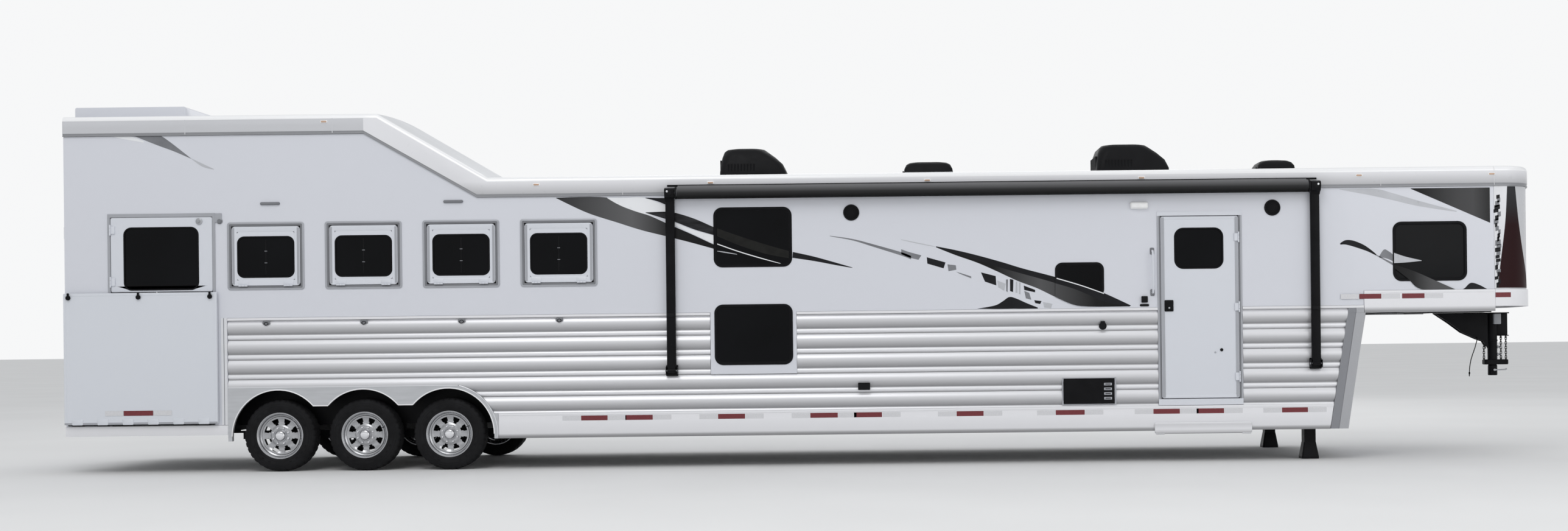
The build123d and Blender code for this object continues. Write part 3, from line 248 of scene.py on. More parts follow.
# Grey for grey fittings, and painted shade on frame sides and door edges.
FRAME_GREY_AND_SHADE = finish("frame grey and painted shade", (0.40, 0.41, 0.44), 0.4, 0.3, 0.04, 3)
FRAME_DARK = finish("frame shadow", (0.19, 0.195, 0.21), 0.45, 0.2, 0.06, 3)
BLACK = finish("black paint", (0.006, 0.006, 0.007), 0.4, 0.0, 0.25, 6, bump=0.04, fine=150, shine=0.1)
BLACK_PLASTIC = finish("black plastic", (0.008, 0.008, 0.009), 0.5, 0.0, 0.2, 5, bump=0.25, fine=180,
                       shine=0.12)
ROOF = finish("roof", (0.68, 0.69, 0.71), 0.45, 0.1, 0.05, 1.5, bump=0.05, fine=30)
RUBBER = finish("rubber", (0.010, 0.010, 0.011), 0.62, 0.0, 0.3, 9, bump=0.2, fine=140, shine=0.1)
TYRE = finish("tyre", (0.012, 0.012, 0.013), 0.68, 0.0, 0.3, 7, bump=0.35, fine=120, shine=0.12)
ALLOY = finish("alloy", (0.46, 0.465, 0.48), 0.26, 0.9, 0.06, 5, (1, 1, 1), 0.05, 90)
CHROME = finish("chrome", (0.82, 0.82, 0.84), 0.1, 1.0, 0.03, 8)
GALVANISED = finish("galvanised", (0.42, 0.43, 0.45), 0.5, 0.7, 0.18, 14, bump=0.12, fine=70)
CHAIN_STEEL = finish("chain steel", (0.05, 0.05, 0.048), 0.5, 0.6, 0.3, 30, bump=0.1, fine=90, shine=0.3)
BOX_GREY = finish("grey box", (0.33, 0.34, 0.36), 0.5, 0.0, 0.06, 9)
AXLE_IRON = finish("axle iron", (0.012, 0.012, 0.013), 0.6, 0.2, 0.3, 10, bump=0.3, fine=90, shine=0.12)
BOARD = finish("floor plank", (0.45, 0.46, 0.47), 0.6, 0.4, 0.15, 3, (0.3, 3, 1), 0.2, 60)
WOOD = finish("wall board", (0.33, 0.24, 0.15), 0.45, 0.0, 0.25, 2, (0.5, 8, 0.5), 0.1, 40)
AMBER = finish("amber lens", (0.55, 0.36, 0.25), 0.2, 0.0, 0.1, 20, coat=0.5)
RED_LENS = finish("red lens", (0.5, 0.015, 0.015), 0.15, 0.0, 0.1, 20, coat=0.8)
WHITE_LENS = finish("white lens", (0.9, 0.9, 0.9), 0.2, 0.0, 0.03, 20, coat=0.6)
TAPE_RED = finish("red tape", (0.17, 0.026, 0.032), 0.35, 0.0, 0.12, 90, coat=0.2, shine=0.3)
TAPE_WHITE = finish("white tape", (0.66, 0.66, 0.68), 0.3, 0.0, 0.05, 90, coat=0.3)
STAINLESS = finish("nose stainless", (0.60, 0.605, 0.625), 0.3, 0.4, 0.03, 1.3, (3, 3, 0.5), 0.03, 20)
WHITE_VINYL = finish("white vinyl", (0.82, 0.83, 0.85), 0.3, vary=0.02, scale=3)
BLACK_VINYL = finish("black vinyl", (0.012, 0.012, 0.014), 0.35, vary=0.2, scale=4, shine=0.15)
GREY_VINYL = finish("grey vinyl", (0.20, 0.205, 0.22), 0.35, vary=0.12, scale=6, shine=0.3)
PALE_VINYL = finish("pale vinyl", (0.50, 0.51, 0.54), 0.3, vary=0.06, scale=5)
GLASS = finish("dark glass", (0.003, 0.0032, 0.004), 0.14, 0.0, 0.3, 1.5, shine=0.1)
SCREEN = finish("window seal", (0.008, 0.008, 0.009), 0.5, 0.0, 0.2, 12, shine=0.1)
CONCRETE = finish("floor", (0.82, 0.82, 0.82), 0.9, 0.0, 0.02, 0.4)
# Painted shade: the front roof trim's lower face, darker towards its foot.
FRONT_TRIM_PAINTED_SHADE = fading("front trim face", [(0, 0.50), (1, 0.80)], "Z", 2.79, 2.93)
NOSE_DARK = fading("nose reflection", [(0, (0.026, 0.009, 0.010)), (0.62, (0.024, 0.009, 0.010)),
                                       (0.80, (0.03, 0.028, 0.03)), (1, (0.04, 0.041, 0.045))], "Z", 1.72,
                                       2.77,
                   0.4, 0.08)
# Painted shade: the rails are darker along their lower edges, at the foot of the bottom rail and under the
# nose rail.
SIDE_RAIL_PAINTED_SHADE = fading("side rail painted shade", [(0, 0.22), (0.015, 0.34), (0.03, 0.74), (0.12, 0.82), (0.80, 0.82),
                                 (0.81, 0.25),
                                 (0.825, 0.45), (0.845, 0.80), (1, 0.84)], "Z", 0.317, 1.78, 0.34, 0.4)
# Painted shade: the step is darker towards its lower edge and lighter higher up.
STEP_PAINTED_SHADE = fading("step face painted shade", [(0, 0.28), (0.12, 0.55), (0.4, 0.80), (0.8, 0.66), (1, 0.82)], "Z", 0.285,
                   0.40, 0.34)


def woven(name, stops, low, high):
    """Woven cloth with painted shade that runs up its height: dark at the foot, lit at the top."""
    material = fading(name, stops, "Z", low, high, 0.6, 0.12)
    nodes, links = material.node_tree.nodes, material.node_tree.links
    shader = nodes["Principled BSDF"]
    place = nodes.new("ShaderNodeTexCoord")
    wave = nodes.new("ShaderNodeTexWave")
    wave.inputs["Scale"].default_value = 220
    wave.bands_direction = "X"
    links.new(place.outputs["Object"], wave.inputs["Vector"])
    relief = nodes.new("ShaderNodeBump")
    relief.inputs["Strength"].default_value = 0.2
    relief.inputs["Distance"].default_value = 0.001
    links.new(wave.outputs["Fac"], relief.inputs["Height"])
    links.new(relief.outputs["Normal"], shader.inputs["Normal"])
    return material


# Painted shade and highlight: the awning roll is nearly black underneath and lit at its top.
FABRIC_PAINTED_SHADE = woven("awning cloth painted shade", [(0, 0.003), (0.45, 0.03), (0.8, 0.12), (1, 0.16)], 2.725, 2.855)


# Mesh pieces --------------------------------------------------------------------------------------------
def circle(middle, up, out, r, n):
    return [middle + r * (cos(2 * pi * k / n) * up + sin(2 * pi * k / n) * out) for k in range(n)]


class Piece:
    """One mesh object, gathered from lofts and plates in metres in the row frame."""

    def __init__(self, name):
        self.name = name.replace(" ", "_")
        self.verts, self.faces, self.index, self.mats = [], [], [], []

    def _slot(self, material):
        if material not in self.mats:
            self.mats.append(material)
        return self.mats.index(material)

    def loft(self, loops, material, closed=True, caps=(True, True), ring=False):
        """Skin between loops of equal point counts."""
        base, n = len(self.verts), len(loops[0])
        slots = [self._slot(m) for m in (material if isinstance(material, list) else [material] * n)]
        for loop in loops:
            self.verts.extend(tuple(p) for p in loop)
        rows = len(loops)
        for i in range(rows if ring else rows - 1):
            for j in range(n if closed else n - 1):
                a, b = base + i * n + j, base + i * n + (j + 1) % n
                k = base + ((i + 1) % rows) * n
                self.faces.append((a, b, k + (j + 1) % n, k + j))
                self.index.append(slots[j])
        if caps[0] and not ring:
            self.faces.append(tuple(range(base + n - 1, base - 1, -1)))
            self.index.append(slots[0])
        if caps[1] and not ring:
            self.faces.append(tuple(base + (rows - 1) * n + j for j in range(n)))
            self.index.append(slots[0])

    def plate(self, side, outline, holes, w0, w1, material):
        """A flat plate on a side wall, with holes, between two distances from the middle."""
        slot, loops = self._slot(material), [outline, *holes]
        flat = [[Vector((s, z, 0)) for s, z in loop] for loop in loops]
        triangles = tessellate_polygon(flat)
        points = [p for loop in loops for p in loop]
        for w in (w0, w1):
            base = len(self.verts)
            self.verts.extend(P(s, w, z, side) for s, z in points)
            self.faces.extend(tuple(base + k for k in t) for t in triangles)
            self.index.extend([slot] * len(triangles))
        low, high, start = len(self.verts) - 2 * len(points), len(self.verts) - len(points), 0
        for loop in loops:
            for j in range(len(loop)):
                a, b = start + j, start + (j + 1) % len(loop)
                self.faces.append((low + a, low + b, high + b, high + a))
                self.index.append(slot)
            start += len(loop)

    def panel(self, side, centre, size, radius, section, material, caps=(True, True), n=8):
        """A rounded rectangle on a side wall whose edge follows (inset, w) points."""
        loops = []
        for inset, w in section:
            outline = rounded(centre, (size[0] - 2 * inset, size[1] - 2 * inset), radius - inset, n)
            loops.append([P(s, w, z, side) for s, z in outline])
        self.loft(loops, material, caps=caps)

    def box(self, s, y, z, material, bevel=3):
        """A box with softened edges from station, y and z spans."""
        (s0, s1), (y0, y1), (z0, z1) = sorted(s), sorted(y), sorted(z)
        b = min(bevel, (s1 - s0) / 3, (y1 - y0) / 3, (z1 - z0) / 3)
        loops = []
        for inset, height in ((b, z0), (0, z0 + b), (0, z1 - b), (b, z1)):
            size = (s1 - s0 - 2 * inset, y1 - y0 - 2 * inset)
            loops.append(level(((s0 + s1) / 2, (y0 + y1) / 2), size, max(b - inset, 0.2), height, 2))
        self.loft(loops, material)

    def tube(self, path, radius, material, n=12, caps=(True, True)):
        """A round bar along points in metres; radius in mm, one value or one per point."""
        path = [Vector(p) for p in path]
        radii = radius if isinstance(radius, (list, tuple)) else [radius] * len(path)
        up, loops = None, []
        for i, p in enumerate(path):
            before, after = path[max(i - 1, 0)], path[min(i + 1, len(path) - 1)]
            along = (after - before).normalized()
            if up is None:
                up = along.orthogonal().normalized()
            up = (up - along * up.dot(along)).normalized()
            loops.append(circle(p, up, along.cross(up), radii[i] / 1000, n))
        self.loft(loops, material, caps=caps)

    def lathe(self, centre, axis, profile, material, n=48, ring=False, caps=(True, True)):
        """A turned shape: profile of (distance along the axis, radius) in mm about a centre in metres."""
        centre, axis = Vector(centre), Vector(axis).normalized()
        up = Vector((0, 0, 1)) if abs(axis.z) < 0.9 else Vector((1, 0, 0))
        up = (up - axis * up.dot(axis)).normalized()
        out = axis.cross(up)
        loops = [circle(centre + axis * d / 1000, up, out, max(r, 0.01) / 1000, n) for d, r in profile]
        self.loft(loops, material, caps=caps, ring=ring)

    def done(self, body, replaces=(), angle=35):
        mesh = bpy.data.meshes.new(self.name)
        mesh.from_pydata(self.verts, [], self.faces)
        for material in self.mats:
            mesh.materials.append(material)
        mesh.polygons.foreach_set("material_index", self.index)
        mesh.update()
        mesh.validate()
        tidy_normals(mesh)
        smoothed(mesh, angle)
        thing = placed(self.name, mesh)
        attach(thing, body)
        if replaces:
            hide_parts(*replaces)
        return thing


def tidy_normals(mesh):
    import bmesh

    work = bmesh.new()
    work.from_mesh(mesh)
    bmesh.ops.recalc_face_normals(work, faces=work.faces)
    work.to_mesh(mesh)
    work.free()


def rounded(centre, size, radius, n=8):
    """Corner-rounded rectangle points, anticlockwise."""
    radius = max(min(radius, size[0] / 2 - 0.01, size[1] / 2 - 0.01), 0.05)
    points = []
    for quarter, (a, b) in enumerate(((1, 1), (-1, 1), (-1, -1), (1, -1))):
        cx = centre[0] + a * (size[0] / 2 - radius)
        cz = centre[1] + b * (size[1] / 2 - radius)
        for k in range(n + 1):
            angle = (quarter + k / n) * pi / 2
            points.append((cx + radius * cos(angle), cz + radius * sin(angle)))
    return points


def level(centre, size, radius, z, n):
    """A rounded rectangle lying flat at a height."""
    return [spot(s, y, z) for s, y in rounded(centre, size, radius, n)]


def smooth_line(points, steps):
    """A smooth curve through points."""
    out = []
    padded = [points[0], *points, points[-1]]
    for a, b, c, d in zip(padded, padded[1:], padded[2:], padded[3:]):
        for k in range(steps):
            t = k / steps
            out.append(tuple(
                0.5 * (2 * q + (r - p) * t + (2 * p - 5 * q + 4 * r - s) * t * t
                       + (3 * q - p - 3 * r + s) * t ** 3)
                for p, q, r, s in zip(a, b, c, d)
            ))
    out.append(tuple(points[-1]))
    return out


# Repeats by geometry nodes ------------------------------------------------------------------------------
def repeat_tree():
    """Instances one piece on points, with named inputs."""
    tree = bpy.data.node_groups.new("repeat", "GeometryNodeTree")
    face = tree.interface
    face.new_socket("Geometry", in_out="INPUT", socket_type="NodeSocketGeometry")
    face.new_socket("Piece", in_out="INPUT", socket_type="NodeSocketObject")
    size = face.new_socket("Size", in_out="INPUT", socket_type="NodeSocketVector")
    size.default_value = (1, 1, 1)
    face.new_socket("Finish", in_out="INPUT", socket_type="NodeSocketMaterial")
    face.new_socket("Geometry", in_out="OUTPUT", socket_type="NodeSocketGeometry")
    nodes, links = tree.nodes, tree.links
    start, end = nodes.new("NodeGroupInput"), nodes.new("NodeGroupOutput")
    info = nodes.new("GeometryNodeObjectInfo")
    place = nodes.new("GeometryNodeInstanceOnPoints")
    turn = nodes.new("GeometryNodeInputNamedAttribute")
    turn.data_type = "FLOAT_VECTOR"
    turn.inputs["Name"].default_value = "turn"
    solid = nodes.new("GeometryNodeRealizeInstances")
    paint = nodes.new("GeometryNodeSetMaterial")
    links.new(start.outputs["Geometry"], place.inputs["Points"])
    links.new(start.outputs["Piece"], info.inputs["Object"])
    links.new(info.outputs["Geometry"], place.inputs["Instance"])
    links.new(start.outputs["Size"], place.inputs["Scale"])
    links.new(turn.outputs["Attribute"], place.inputs["Rotation"])
    links.new(place.outputs["Instances"], solid.inputs["Geometry"])
    links.new(solid.outputs["Geometry"], paint.inputs["Geometry"])
    links.new(start.outputs["Finish"], paint.inputs["Material"])
    links.new(paint.outputs["Geometry"], end.inputs["Geometry"])
    return tree


REPEAT = repeat_tree()


def repeat(name, piece, points, material, body, size, turns, replaces=()):
    """Copies a Piece that is built about the origin to every point, turned as told."""
    name = name.replace(" ", "_")
    master_mesh = bpy.data.meshes.new(name + " master")
    master_mesh.from_pydata(piece.verts, [], piece.faces)
    tidy_normals(master_mesh)
    master = placed(name + " master", master_mesh)
    cloud = bpy.data.meshes.new(name + " points")
    cloud.from_pydata([tuple(p) for p in points], [], [])
    turn = cloud.attributes.new("turn", "FLOAT_VECTOR", "POINT")
    turn.data.foreach_set("vector", [c for t in turns for c in t])
    holder = placed(name + " holder", cloud)
    change = holder.modifiers.new("repeat", "NODES")
    change.node_group = REPEAT
    inputs = {"Piece": master, "Size": size, "Finish": material}
    for item in REPEAT.interface.items_tree:
        if item.in_out == "INPUT" and item.name in inputs:
            change[item.identifier] = inputs[item.name]
    bpy.context.view_layer.update()
    graph = bpy.context.evaluated_depsgraph_get()
    mesh = bpy.data.meshes.new_from_object(holder.evaluated_get(graph))
    mesh.name = name
    one_finish(mesh, material, 40)
    thing = placed(name, mesh)
    bpy.data.objects.remove(holder)
    bpy.data.objects.remove(master)
    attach(thing, body)
    if replaces:
        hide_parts(*replaces)


# Nose plan curve ----------------------------------------------------------------------------------------
CORNER_R, BOW = 340, radians(19.4)
BOW_R = (WALL_OUT - CORNER_R * (1 - sin(BOW))) / sin(BOW)
NOSE_SIDE_END = LENGTH - CORNER_R * cos(BOW) - BOW_R * (1 - cos(BOW))
BOW_CENTRE = LENGTH - BOW_R
CORNER_Y = WALL_OUT - CORNER_R


def nose_path(start, steps=10):
    """(station, y, outward direction) from the right wall round the nose to the left wall."""
    points = [(start, -WALL_OUT, (0, -1)), (NOSE_SIDE_END - 1, -WALL_OUT, (0, -1))]
    for k in range(steps + 1):
        a = -pi / 2 + (pi / 2 - BOW) * k / steps
        points.append((NOSE_SIDE_END + CORNER_R * cos(a), -CORNER_Y + CORNER_R * sin(a), (cos(a), sin(a))))
    for k in range(1, 2 * steps):
        a = -BOW + 2 * BOW * k / (2 * steps)
        points.append((BOW_CENTRE + BOW_R * cos(a), BOW_R * sin(a), (cos(a), sin(a))))
    for k in range(steps + 1):
        a = BOW + (pi / 2 - BOW) * k / steps
        points.append((NOSE_SIDE_END + CORNER_R * cos(a), CORNER_Y + CORNER_R * sin(a), (cos(a), sin(a))))
    points += [(NOSE_SIDE_END - 1, WALL_OUT, (0, 1)), (start, WALL_OUT, (0, 1))]
    return points


def corner_point(along, proud, z, side):
    """A point on a nose corner, at a distance along the wall past the corner's start."""
    a = max(along, 0) / CORNER_R
    s = NOSE_SIDE_END + min(along, 0) + (CORNER_R + proud) * sin(a)
    return P(s, CORNER_Y + (CORNER_R + proud) * cos(a), z, side)


def nose_sweep(piece, path, section, material):
    """Sweeps (proud of the wall, height) points along part of the nose path, all in mm."""
    piece.loft([[spot(s + nx * d, y + ny * d, z) for d, z in section] for s, y, (nx, ny) in path], material)


# Walls --------------------------------------------------------------------------------------------------
WINDOW_A = ((7018, 2335.5), (799, 611), 88)
WINDOW_B = ((7018, 1343), (799, 618), 88)
WINDOW_C = ((10344, 1865), (500, 350), 75)
NOSE_WINDOW = ((13917, 2113.5), (755, 607), 88)
LEFT_WINDOW = ((9500, 2335.5), (799, 611), 88)
STALL_WINDOWS = [((s, 2190), (560, 400), 88) for s in FEEDS]


def opening(window, lap=20):
    centre, size, radius = window
    return rounded(centre, (size[0] - 2 * lap, size[1] - 2 * lap), radius - lap, 6)


def rect(s0, s1, z0, z1):
    return [(s0, z0), (s1, z0), (s1, z1), (s0, z1)]


def walls():
    front = NOSE_START - 2
    top = [(front, LOW_CAP), (4215, LOW_CAP), (REAR_LEVEL, HIGH_CAP), (2, HIGH_CAP)]
    right = Piece("right wall")
    outline = [
        (2, 482), (470, 482), (470, 2610), (1514, 2610), (1514, 482), (1653, 482), (1653, BELT), (6577, BELT),
        (6577, 943), (7455, 943), (7455, BELT), (11138, BELT), (11138, 573), (12000, 573), (12000, BELT),
        (13240, BELT), (13240, NOSE_FOOT), (front, NOSE_FOOT), *top,
    ]
    holes = [rect(s - 352, s + 352, 1894, 2506) for s in FEEDS]
    holes += [opening(w) for w in (WINDOW_A, WINDOW_B, WINDOW_C, NOSE_WINDOW)]
    holes += [rect(11170, 11968, 636, 2504)]
    right.plate(RIGHT, outline, holes, WALL_IN, WALL_OUT, SKIN)
    left = Piece("left wall")
    outline = [(2, BELT), (13240, BELT), (13240, NOSE_FOOT), (front, NOSE_FOOT), *top]
    holes = [opening(w) for w in (*STALL_WINDOWS, WINDOW_A, LEFT_WINDOW, NOSE_WINDOW)]
    left.plate(LEFT, outline, holes, WALL_IN, WALL_OUT, SKIN)
    nose = Piece("nose skin")
    path = nose_path(NOSE_START)
    section = [(-28, 1722), (0, 1722), (0, LOW_CAP), (-28, LOW_CAP)]
    side_count = 12
    nose_sweep(nose, path[:side_count + 1], section, STAINLESS)
    nose_sweep(nose, path[side_count + 1:-side_count - 1], section, SKIN)
    nose_sweep(nose, path[-side_count - 1:], section, STAINLESS)
    # sloping front wall with its two-tone corner posts
    slant = Piece("sloping front wall")
    slope = [(13062, 317), (13257, 1495)]
    face = slope + [(s - 30, z) for s, z in reversed(slope)]
    slant.loft([[spot(s, y, z) for s, z in face] for y in (-1179, 1179)], SKIN)
    for side in (RIGHT, LEFT):
        slant.plate(side, rect(13078, 13160, 1494, 1543), [], WALL_IN, 1217, POST_INNER)
        slant.plate(side, rect(13160, 13239, 1494, 1543), [], WALL_IN, 1221, POST_OUTER)
        for near, far, proud, material in ((0, 96, 1221, POST_OUTER), (96, 182, 1217, POST_INNER)):
            outline = [(s - near - 1, z) for s, z in slope] + [(s - far, z) for s, z in reversed(slope)]
            middle = sum(s for s, z in outline) / 4
            loops = []
            for w, inset in ((WALL_IN, 0), (proud - 5, 0), (proud, 5)):
                loops.append([P(s + (inset if s < middle else -inset), w, z, side) for s, z in outline])
            slant.loft(loops, material)
    right.done("trailer", ["body_walls"])
    left.done("trailer")
    nose.done("trailer")
    slant.done("trailer")


walls()


# Roof trim ----------------------------------------------------------------------------------------------
def roof_trim():
    """The rounded cap along both roof edges and round the nose."""
    def section(drop):
        # (proud of the wall, height under the top), rounded outside, with a drip bead at the foot
        points = [(-58, drop), (-58, 1), (-34, 0)]
        for k in range(7):
            a = pi / 2 - k / 6 * pi / 2
            points.append((-32 + 48 * cos(a), 48 - 48 * sin(a)))
        points += [(16, drop - 30), (12, drop - 24), (12, drop - 14), (16, drop - 9), (16, drop)]
        return points

    # Painted shade on the trim's section: white on top, a painted shaded lower face, and a painted shadow on
    # the drip bead.
    def shades(face):
        return [TRIM] * 9 + [face] + [TRIM_DRIP_PAINTED_SHADOW] * 5

    # (station, top, foot)
    run = [(1, HIGH_ROOF, 3436), (REAR_LEVEL, HIGH_ROOF, 3436), (3200, 3639, 3358.5), (4215, 3037, 2772),
           (4319, LOW_ROOF, 2772), (NOSE_START - 2, LOW_ROOF, 2772)]
    for side in (RIGHT, LEFT):
        trim = Piece("roof trim " + SIDE_NAME[side])
        loops = []
        for s, top, foot in run:
            loops.append([P(s, WALL_OUT + d, top - h, side) for d, h in section(top - foot)])
        trim.loft(loops[:2], shades(REAR_TRIM_PAINTED_SHADE), caps=FIRST)
        trim.loft(loops[1:], shades(FRONT_TRIM_PAINTED_SHADE), caps=LAST)
        trim.done("trailer", ["roof_trims"] if side == RIGHT else ())
    nose = Piece("roof trim nose")
    nose_sweep(nose, nose_path(NOSE_START), [(d, LOW_ROOF - h) for d, h in section(204)], shades(FRONT_TRIM_PAINTED_SHADE))
    nose.done("trailer")
    # joint covers between lengths of trim, carrying the trim face's painted shade
    joints = Piece("trim joint covers")
    for side in (RIGHT, LEFT):
        for s in (5700, 8800, 11700, 13420, 14576):
            joints.plate(side, rect(s - 5, s + 5, 2781, 2930), [], 1225.5, 1226.6, FRONT_TRIM_PAINTED_SHADE)
        for s in (1250, 2750):
            joints.plate(side, rect(s - 5, s + 5, 3446, 3594), [], 1225.5, 1226.6, REAR_TRIM_PAINTED_SHADE)
    joints.done("trailer")


roof_trim()


# Carried-over parts: finishes and smooth shading --------------------------------------------------------
CAD_FINISH = {
    "chassis_frame": BLACK, "floor_boards": BOARD, "side_slats": SLAT_PAINTED_LIGHT, "body_rails": SIDE_RAIL_PAINTED_SHADE,
    "fender_panels": BRUSHED, "roof_panels": ROOF, "rear_frame": RAIL, "bulkheads": WOOD,
    "landing_legs": BLACK, "window_panes": GLASS,
    "divider_1": TRIM, "divider_2": TRIM, "divider_3": TRIM, "axle_1": AXLE_IRON, "axle_2": AXLE_IRON,
    "axle_3": AXLE_IRON, "entry_step": STEP_PAINTED_SHADE,
}


def paint(node, material):
    one_finish(frame["nodes"][node].data, material, 30)


for node in frame["nodes"]:
    paint(node, CAD_FINISH.get(node, BLACK_PLASTIC))
for letter in "rl":
    for i in (1, 2, 3):
        paint(f"tyre_{letter}{i}", TYRE)
        paint(f"rim_{letter}{i}", ALLOY)


# Windows ------------------------------------------------------------------------------------------------
def window(piece, side, spec):
    """A framed pane: a rounded frame, a seal and dark glass."""
    frame_edge = [(0, 1210.3), (0, 1214), (4, 1218), (22, 1218), (27, 1214), (27, 1200)]
    piece.panel(side, *spec, frame_edge, BLACK, caps=OPEN)
    piece.panel(side, *spec, [(26, 1199), (26, 1206), (34, 1206), (34, 1199)], SCREEN, caps=OPEN)
    piece.panel(side, *spec, [(26, 1198), (26, 1204)], GLASS)


frames = Piece("window frames")
for spec in (WINDOW_A, WINDOW_B, WINDOW_C, NOSE_WINDOW):
    window(frames, RIGHT, spec)
for spec in (*STALL_WINDOWS, WINDOW_A, LEFT_WINDOW, NOSE_WINDOW):
    window(frames, LEFT, spec)
frames.done("trailer", ["window_panes", "opening_frames"])


def door_frames():
    """Frames round the feed doors, the door over the ramp and the entry door."""
    piece = Piece("door frames")
    for s in FEEDS:
        # painted shade on the frame's face and a darker painted shadow on its inner return
        for section, material in (
            ([(0, 1210.3), (0, 1216), (5, 1218), (18, 1218), (20, 1215)], FRAME_GREY_AND_SHADE),
            ([(20, 1215), (39.5, 1212), (39.5, 1190)], FRAME_DARK),
        ):
            piece.panel(RIGHT, (s, 2200), (783, 691), 30, section, material, caps=OPEN, n=4)
    # the ramp door's frame: painted shade on its face and a painted shadow on its inner return
    outer = [(445, 1847), (445, 2643), (1541, 2643), (1541, 1847), (1514, 1847), (1514, 2609), (471, 2609),
             (471, 1847)]
    piece.plate(RIGHT, outer, [], 1210.3, 1217, FRAME_GREY_AND_SHADE)
    inner = [(471, 1847), (471, 2609), (1514, 2609), (1514, 1847), (1509, 1847), (1509, 2606), (476, 2606),
             (476, 1847)]
    piece.plate(RIGHT, inner, [], 1186, 1212, FRAME_DARK)
    # entry door: pale header and sill, painted shade on the stiles
    for z0, z1 in ((2503, 2545), (575, 637)):
        piece.plate(RIGHT, rect(11138, 12000, z0, z1), [], 1210.3, 1218, DOOR_SKIN)
    for s0, s1, s2 in ((11138, 11156, 11171), (12000, 11982, 11967)):
        piece.plate(RIGHT, rect(*sorted((s0, s1)), 637.5, 2502.5), [], 1210.3, 1218, FRAME_GREY_AND_SHADE)
        piece.plate(RIGHT, rect(*sorted((s1, s2)), 637.5, 2502.5), [], 1210.3, 1214, FRAME_DARK)
    piece.done("trailer")


door_frames()


def hinge(piece, centre, w, length, material, vertical=True):
    """The three-knuckle barrel of a hinge on the right side."""
    s, z = centre
    for k in range(3):
        a = -length / 2 + k * length / 3 + 1
        b = a + length / 3 - 2
        piece.tube([P(s, w, z + d) if vertical else P(s + d, w, z) for d in (a, b)], 8, material)


def feed_door(number, s):
    piece = Piece(f"feed door {number}")
    piece.panel(RIGHT, (s, 2200), (696, 604), 35, [
        (6, 1188), (0, 1192), (0, 1212), (4, 1216), (50, 1216), (56, 1213),
    ], DOOR_SKIN, caps=FIRST)
    # painted shade down both sides of the door leaf
    for edge in (-1, 1):
        piece.plate(RIGHT, rect(*sorted((s + edge * 343, s + edge * 318)), 1912, 2488), [], 1216, 1216.6,
                    FRAME_GREY_AND_SHADE)
    piece.panel(RIGHT, (s, 2190), (579, 418), 70, [(-3.5, 1213), (0, 1217), (12, 1217), (16, 1209)], BLACK,
                caps=OPEN)
    inner = rounded((s, 2190), (580, 419), 70, 8)
    outer = rounded((s, 2200), (584, 492), 20, 8)
    piece.loft([[P(a, 1213, b) for a, b in outer], [P(a, 1213, b) for a, b in inner]], DOOR_SKIN, caps=OPEN)
    piece.panel(RIGHT, (s, 2190), (579, 418), 70, [(14, 1203), (14, 1209)], GLASS)
    piece.box((s - 6, s + 6), (-1211, -1208), (2010, 2370), SCREEN, 1)
    for k in (2130, 2250):
        piece.box((s - 14, s + 14), (-1213, -1209), (k - 4, k + 4), FRAME_DARK, 1)
    for shift in (-230, 230):
        hinge(piece, (s + shift, 1898), 1228, 90, DOOR_SKIN, vertical=False)
        piece.panel(RIGHT, (s + shift, 1922), (100, 46), 8, [(0, 1215.5), (0, 1219), (3, 1221)], DOOR_SKIN,
                    caps=LAST)
    piece.done(f"feed_door_{number}", [f"feed_door_{number}"])


for number, s in enumerate(FEEDS, 1):
    feed_door(number, s)


def upper_door():
    piece = Piece("upper ramp door")
    piece.panel(RIGHT, (993, 2226), (1038, 760), 20,
                [(5, 1176), (0, 1180), (0, 1210), (4, 1214), (60, 1214)], DOOR_SKIN, caps=FIRST)
    outer = rounded((993, 2226), (918, 640), 8, 8)
    piece.loft([[P(a, 1214, b) for a, b in outer],
                [P(a, 1214, b) for a, b in rounded((989.5, 2184.5), (765, 641), 80, 8)]], DOOR_SKIN,
                caps=OPEN)
    piece.panel(RIGHT, (989.5, 2184.5), (765, 641), 80, [(-2, 1214), (0, 1218), (12, 1218), (16, 1208)],
                BLACK, caps=OPEN)
    piece.panel(RIGHT, (989.5, 2184.5), (765, 641), 80, [(14, 1200), (14, 1207)], GLASS)
    for z in (1950, 2480):
        hinge(piece, (474, z), 1228, 110, DOOR_SKIN)
        piece.box((478, 520), (-1226, -1213), (z - 40, z + 40), DOOR_SKIN)
    # hold-back at the top front corner
    piece.lathe(P(1380, 1214, 2560), OUTWARD, [(0, 34), (8, 34), (12, 28), (12, 14), (22, 12), (22, 0)],
                GALVANISED, 24)
    piece.done("upper_door", ["upper_door"])


upper_door()


def side_ramp():
    piece = Piece("side ramp")
    piece.panel(RIGHT, (784.5, 1169.5), (1559, 1337), 12, [
        (4, 1226), (0, 1230), (0, 1258), (4, 1262), (26, 1262), (27, 1260),
    ], RAMP_SKIN, n=4)
    piece.plate(RIGHT, rect(8, 1561, 502, 522), [], 1258, 1263, FRAME_GREY_AND_SHADE)
    piece.box((40, 1530), (-1258, -1230), (490, 501), RUBBER, 3)
    for k in range(6):
        s = 140 + 257 * k
        hinge(piece, (s, 495), 1246, 130, BLACK, vertical=False)
        piece.panel(RIGHT, (s, 528), (110, 60), 10, [(0, 1260), (0, 1264), (3, 1266)], RAMP_SKIN, caps=LAST,
                    n=3)
    piece.done("side_ramp", ["side_ramp"])
    for number, s in enumerate((60, 773, 1500), 1):
        latch = Piece(f"ramp latch {number}")
        latch.lathe(P(s, 1267, 1793), OUTWARD, [(0, 20), (0, 24), (10, 24), (16, 18), (16, 0)], BLACK, 28)
        latch.box((s - 11, s + 11), (-1281, -1268), (1793, 1841), BLACK, 4)
        latch.done(f"ramp_latch_{number}", [f"ramp_latch_{number}"])


side_ramp()


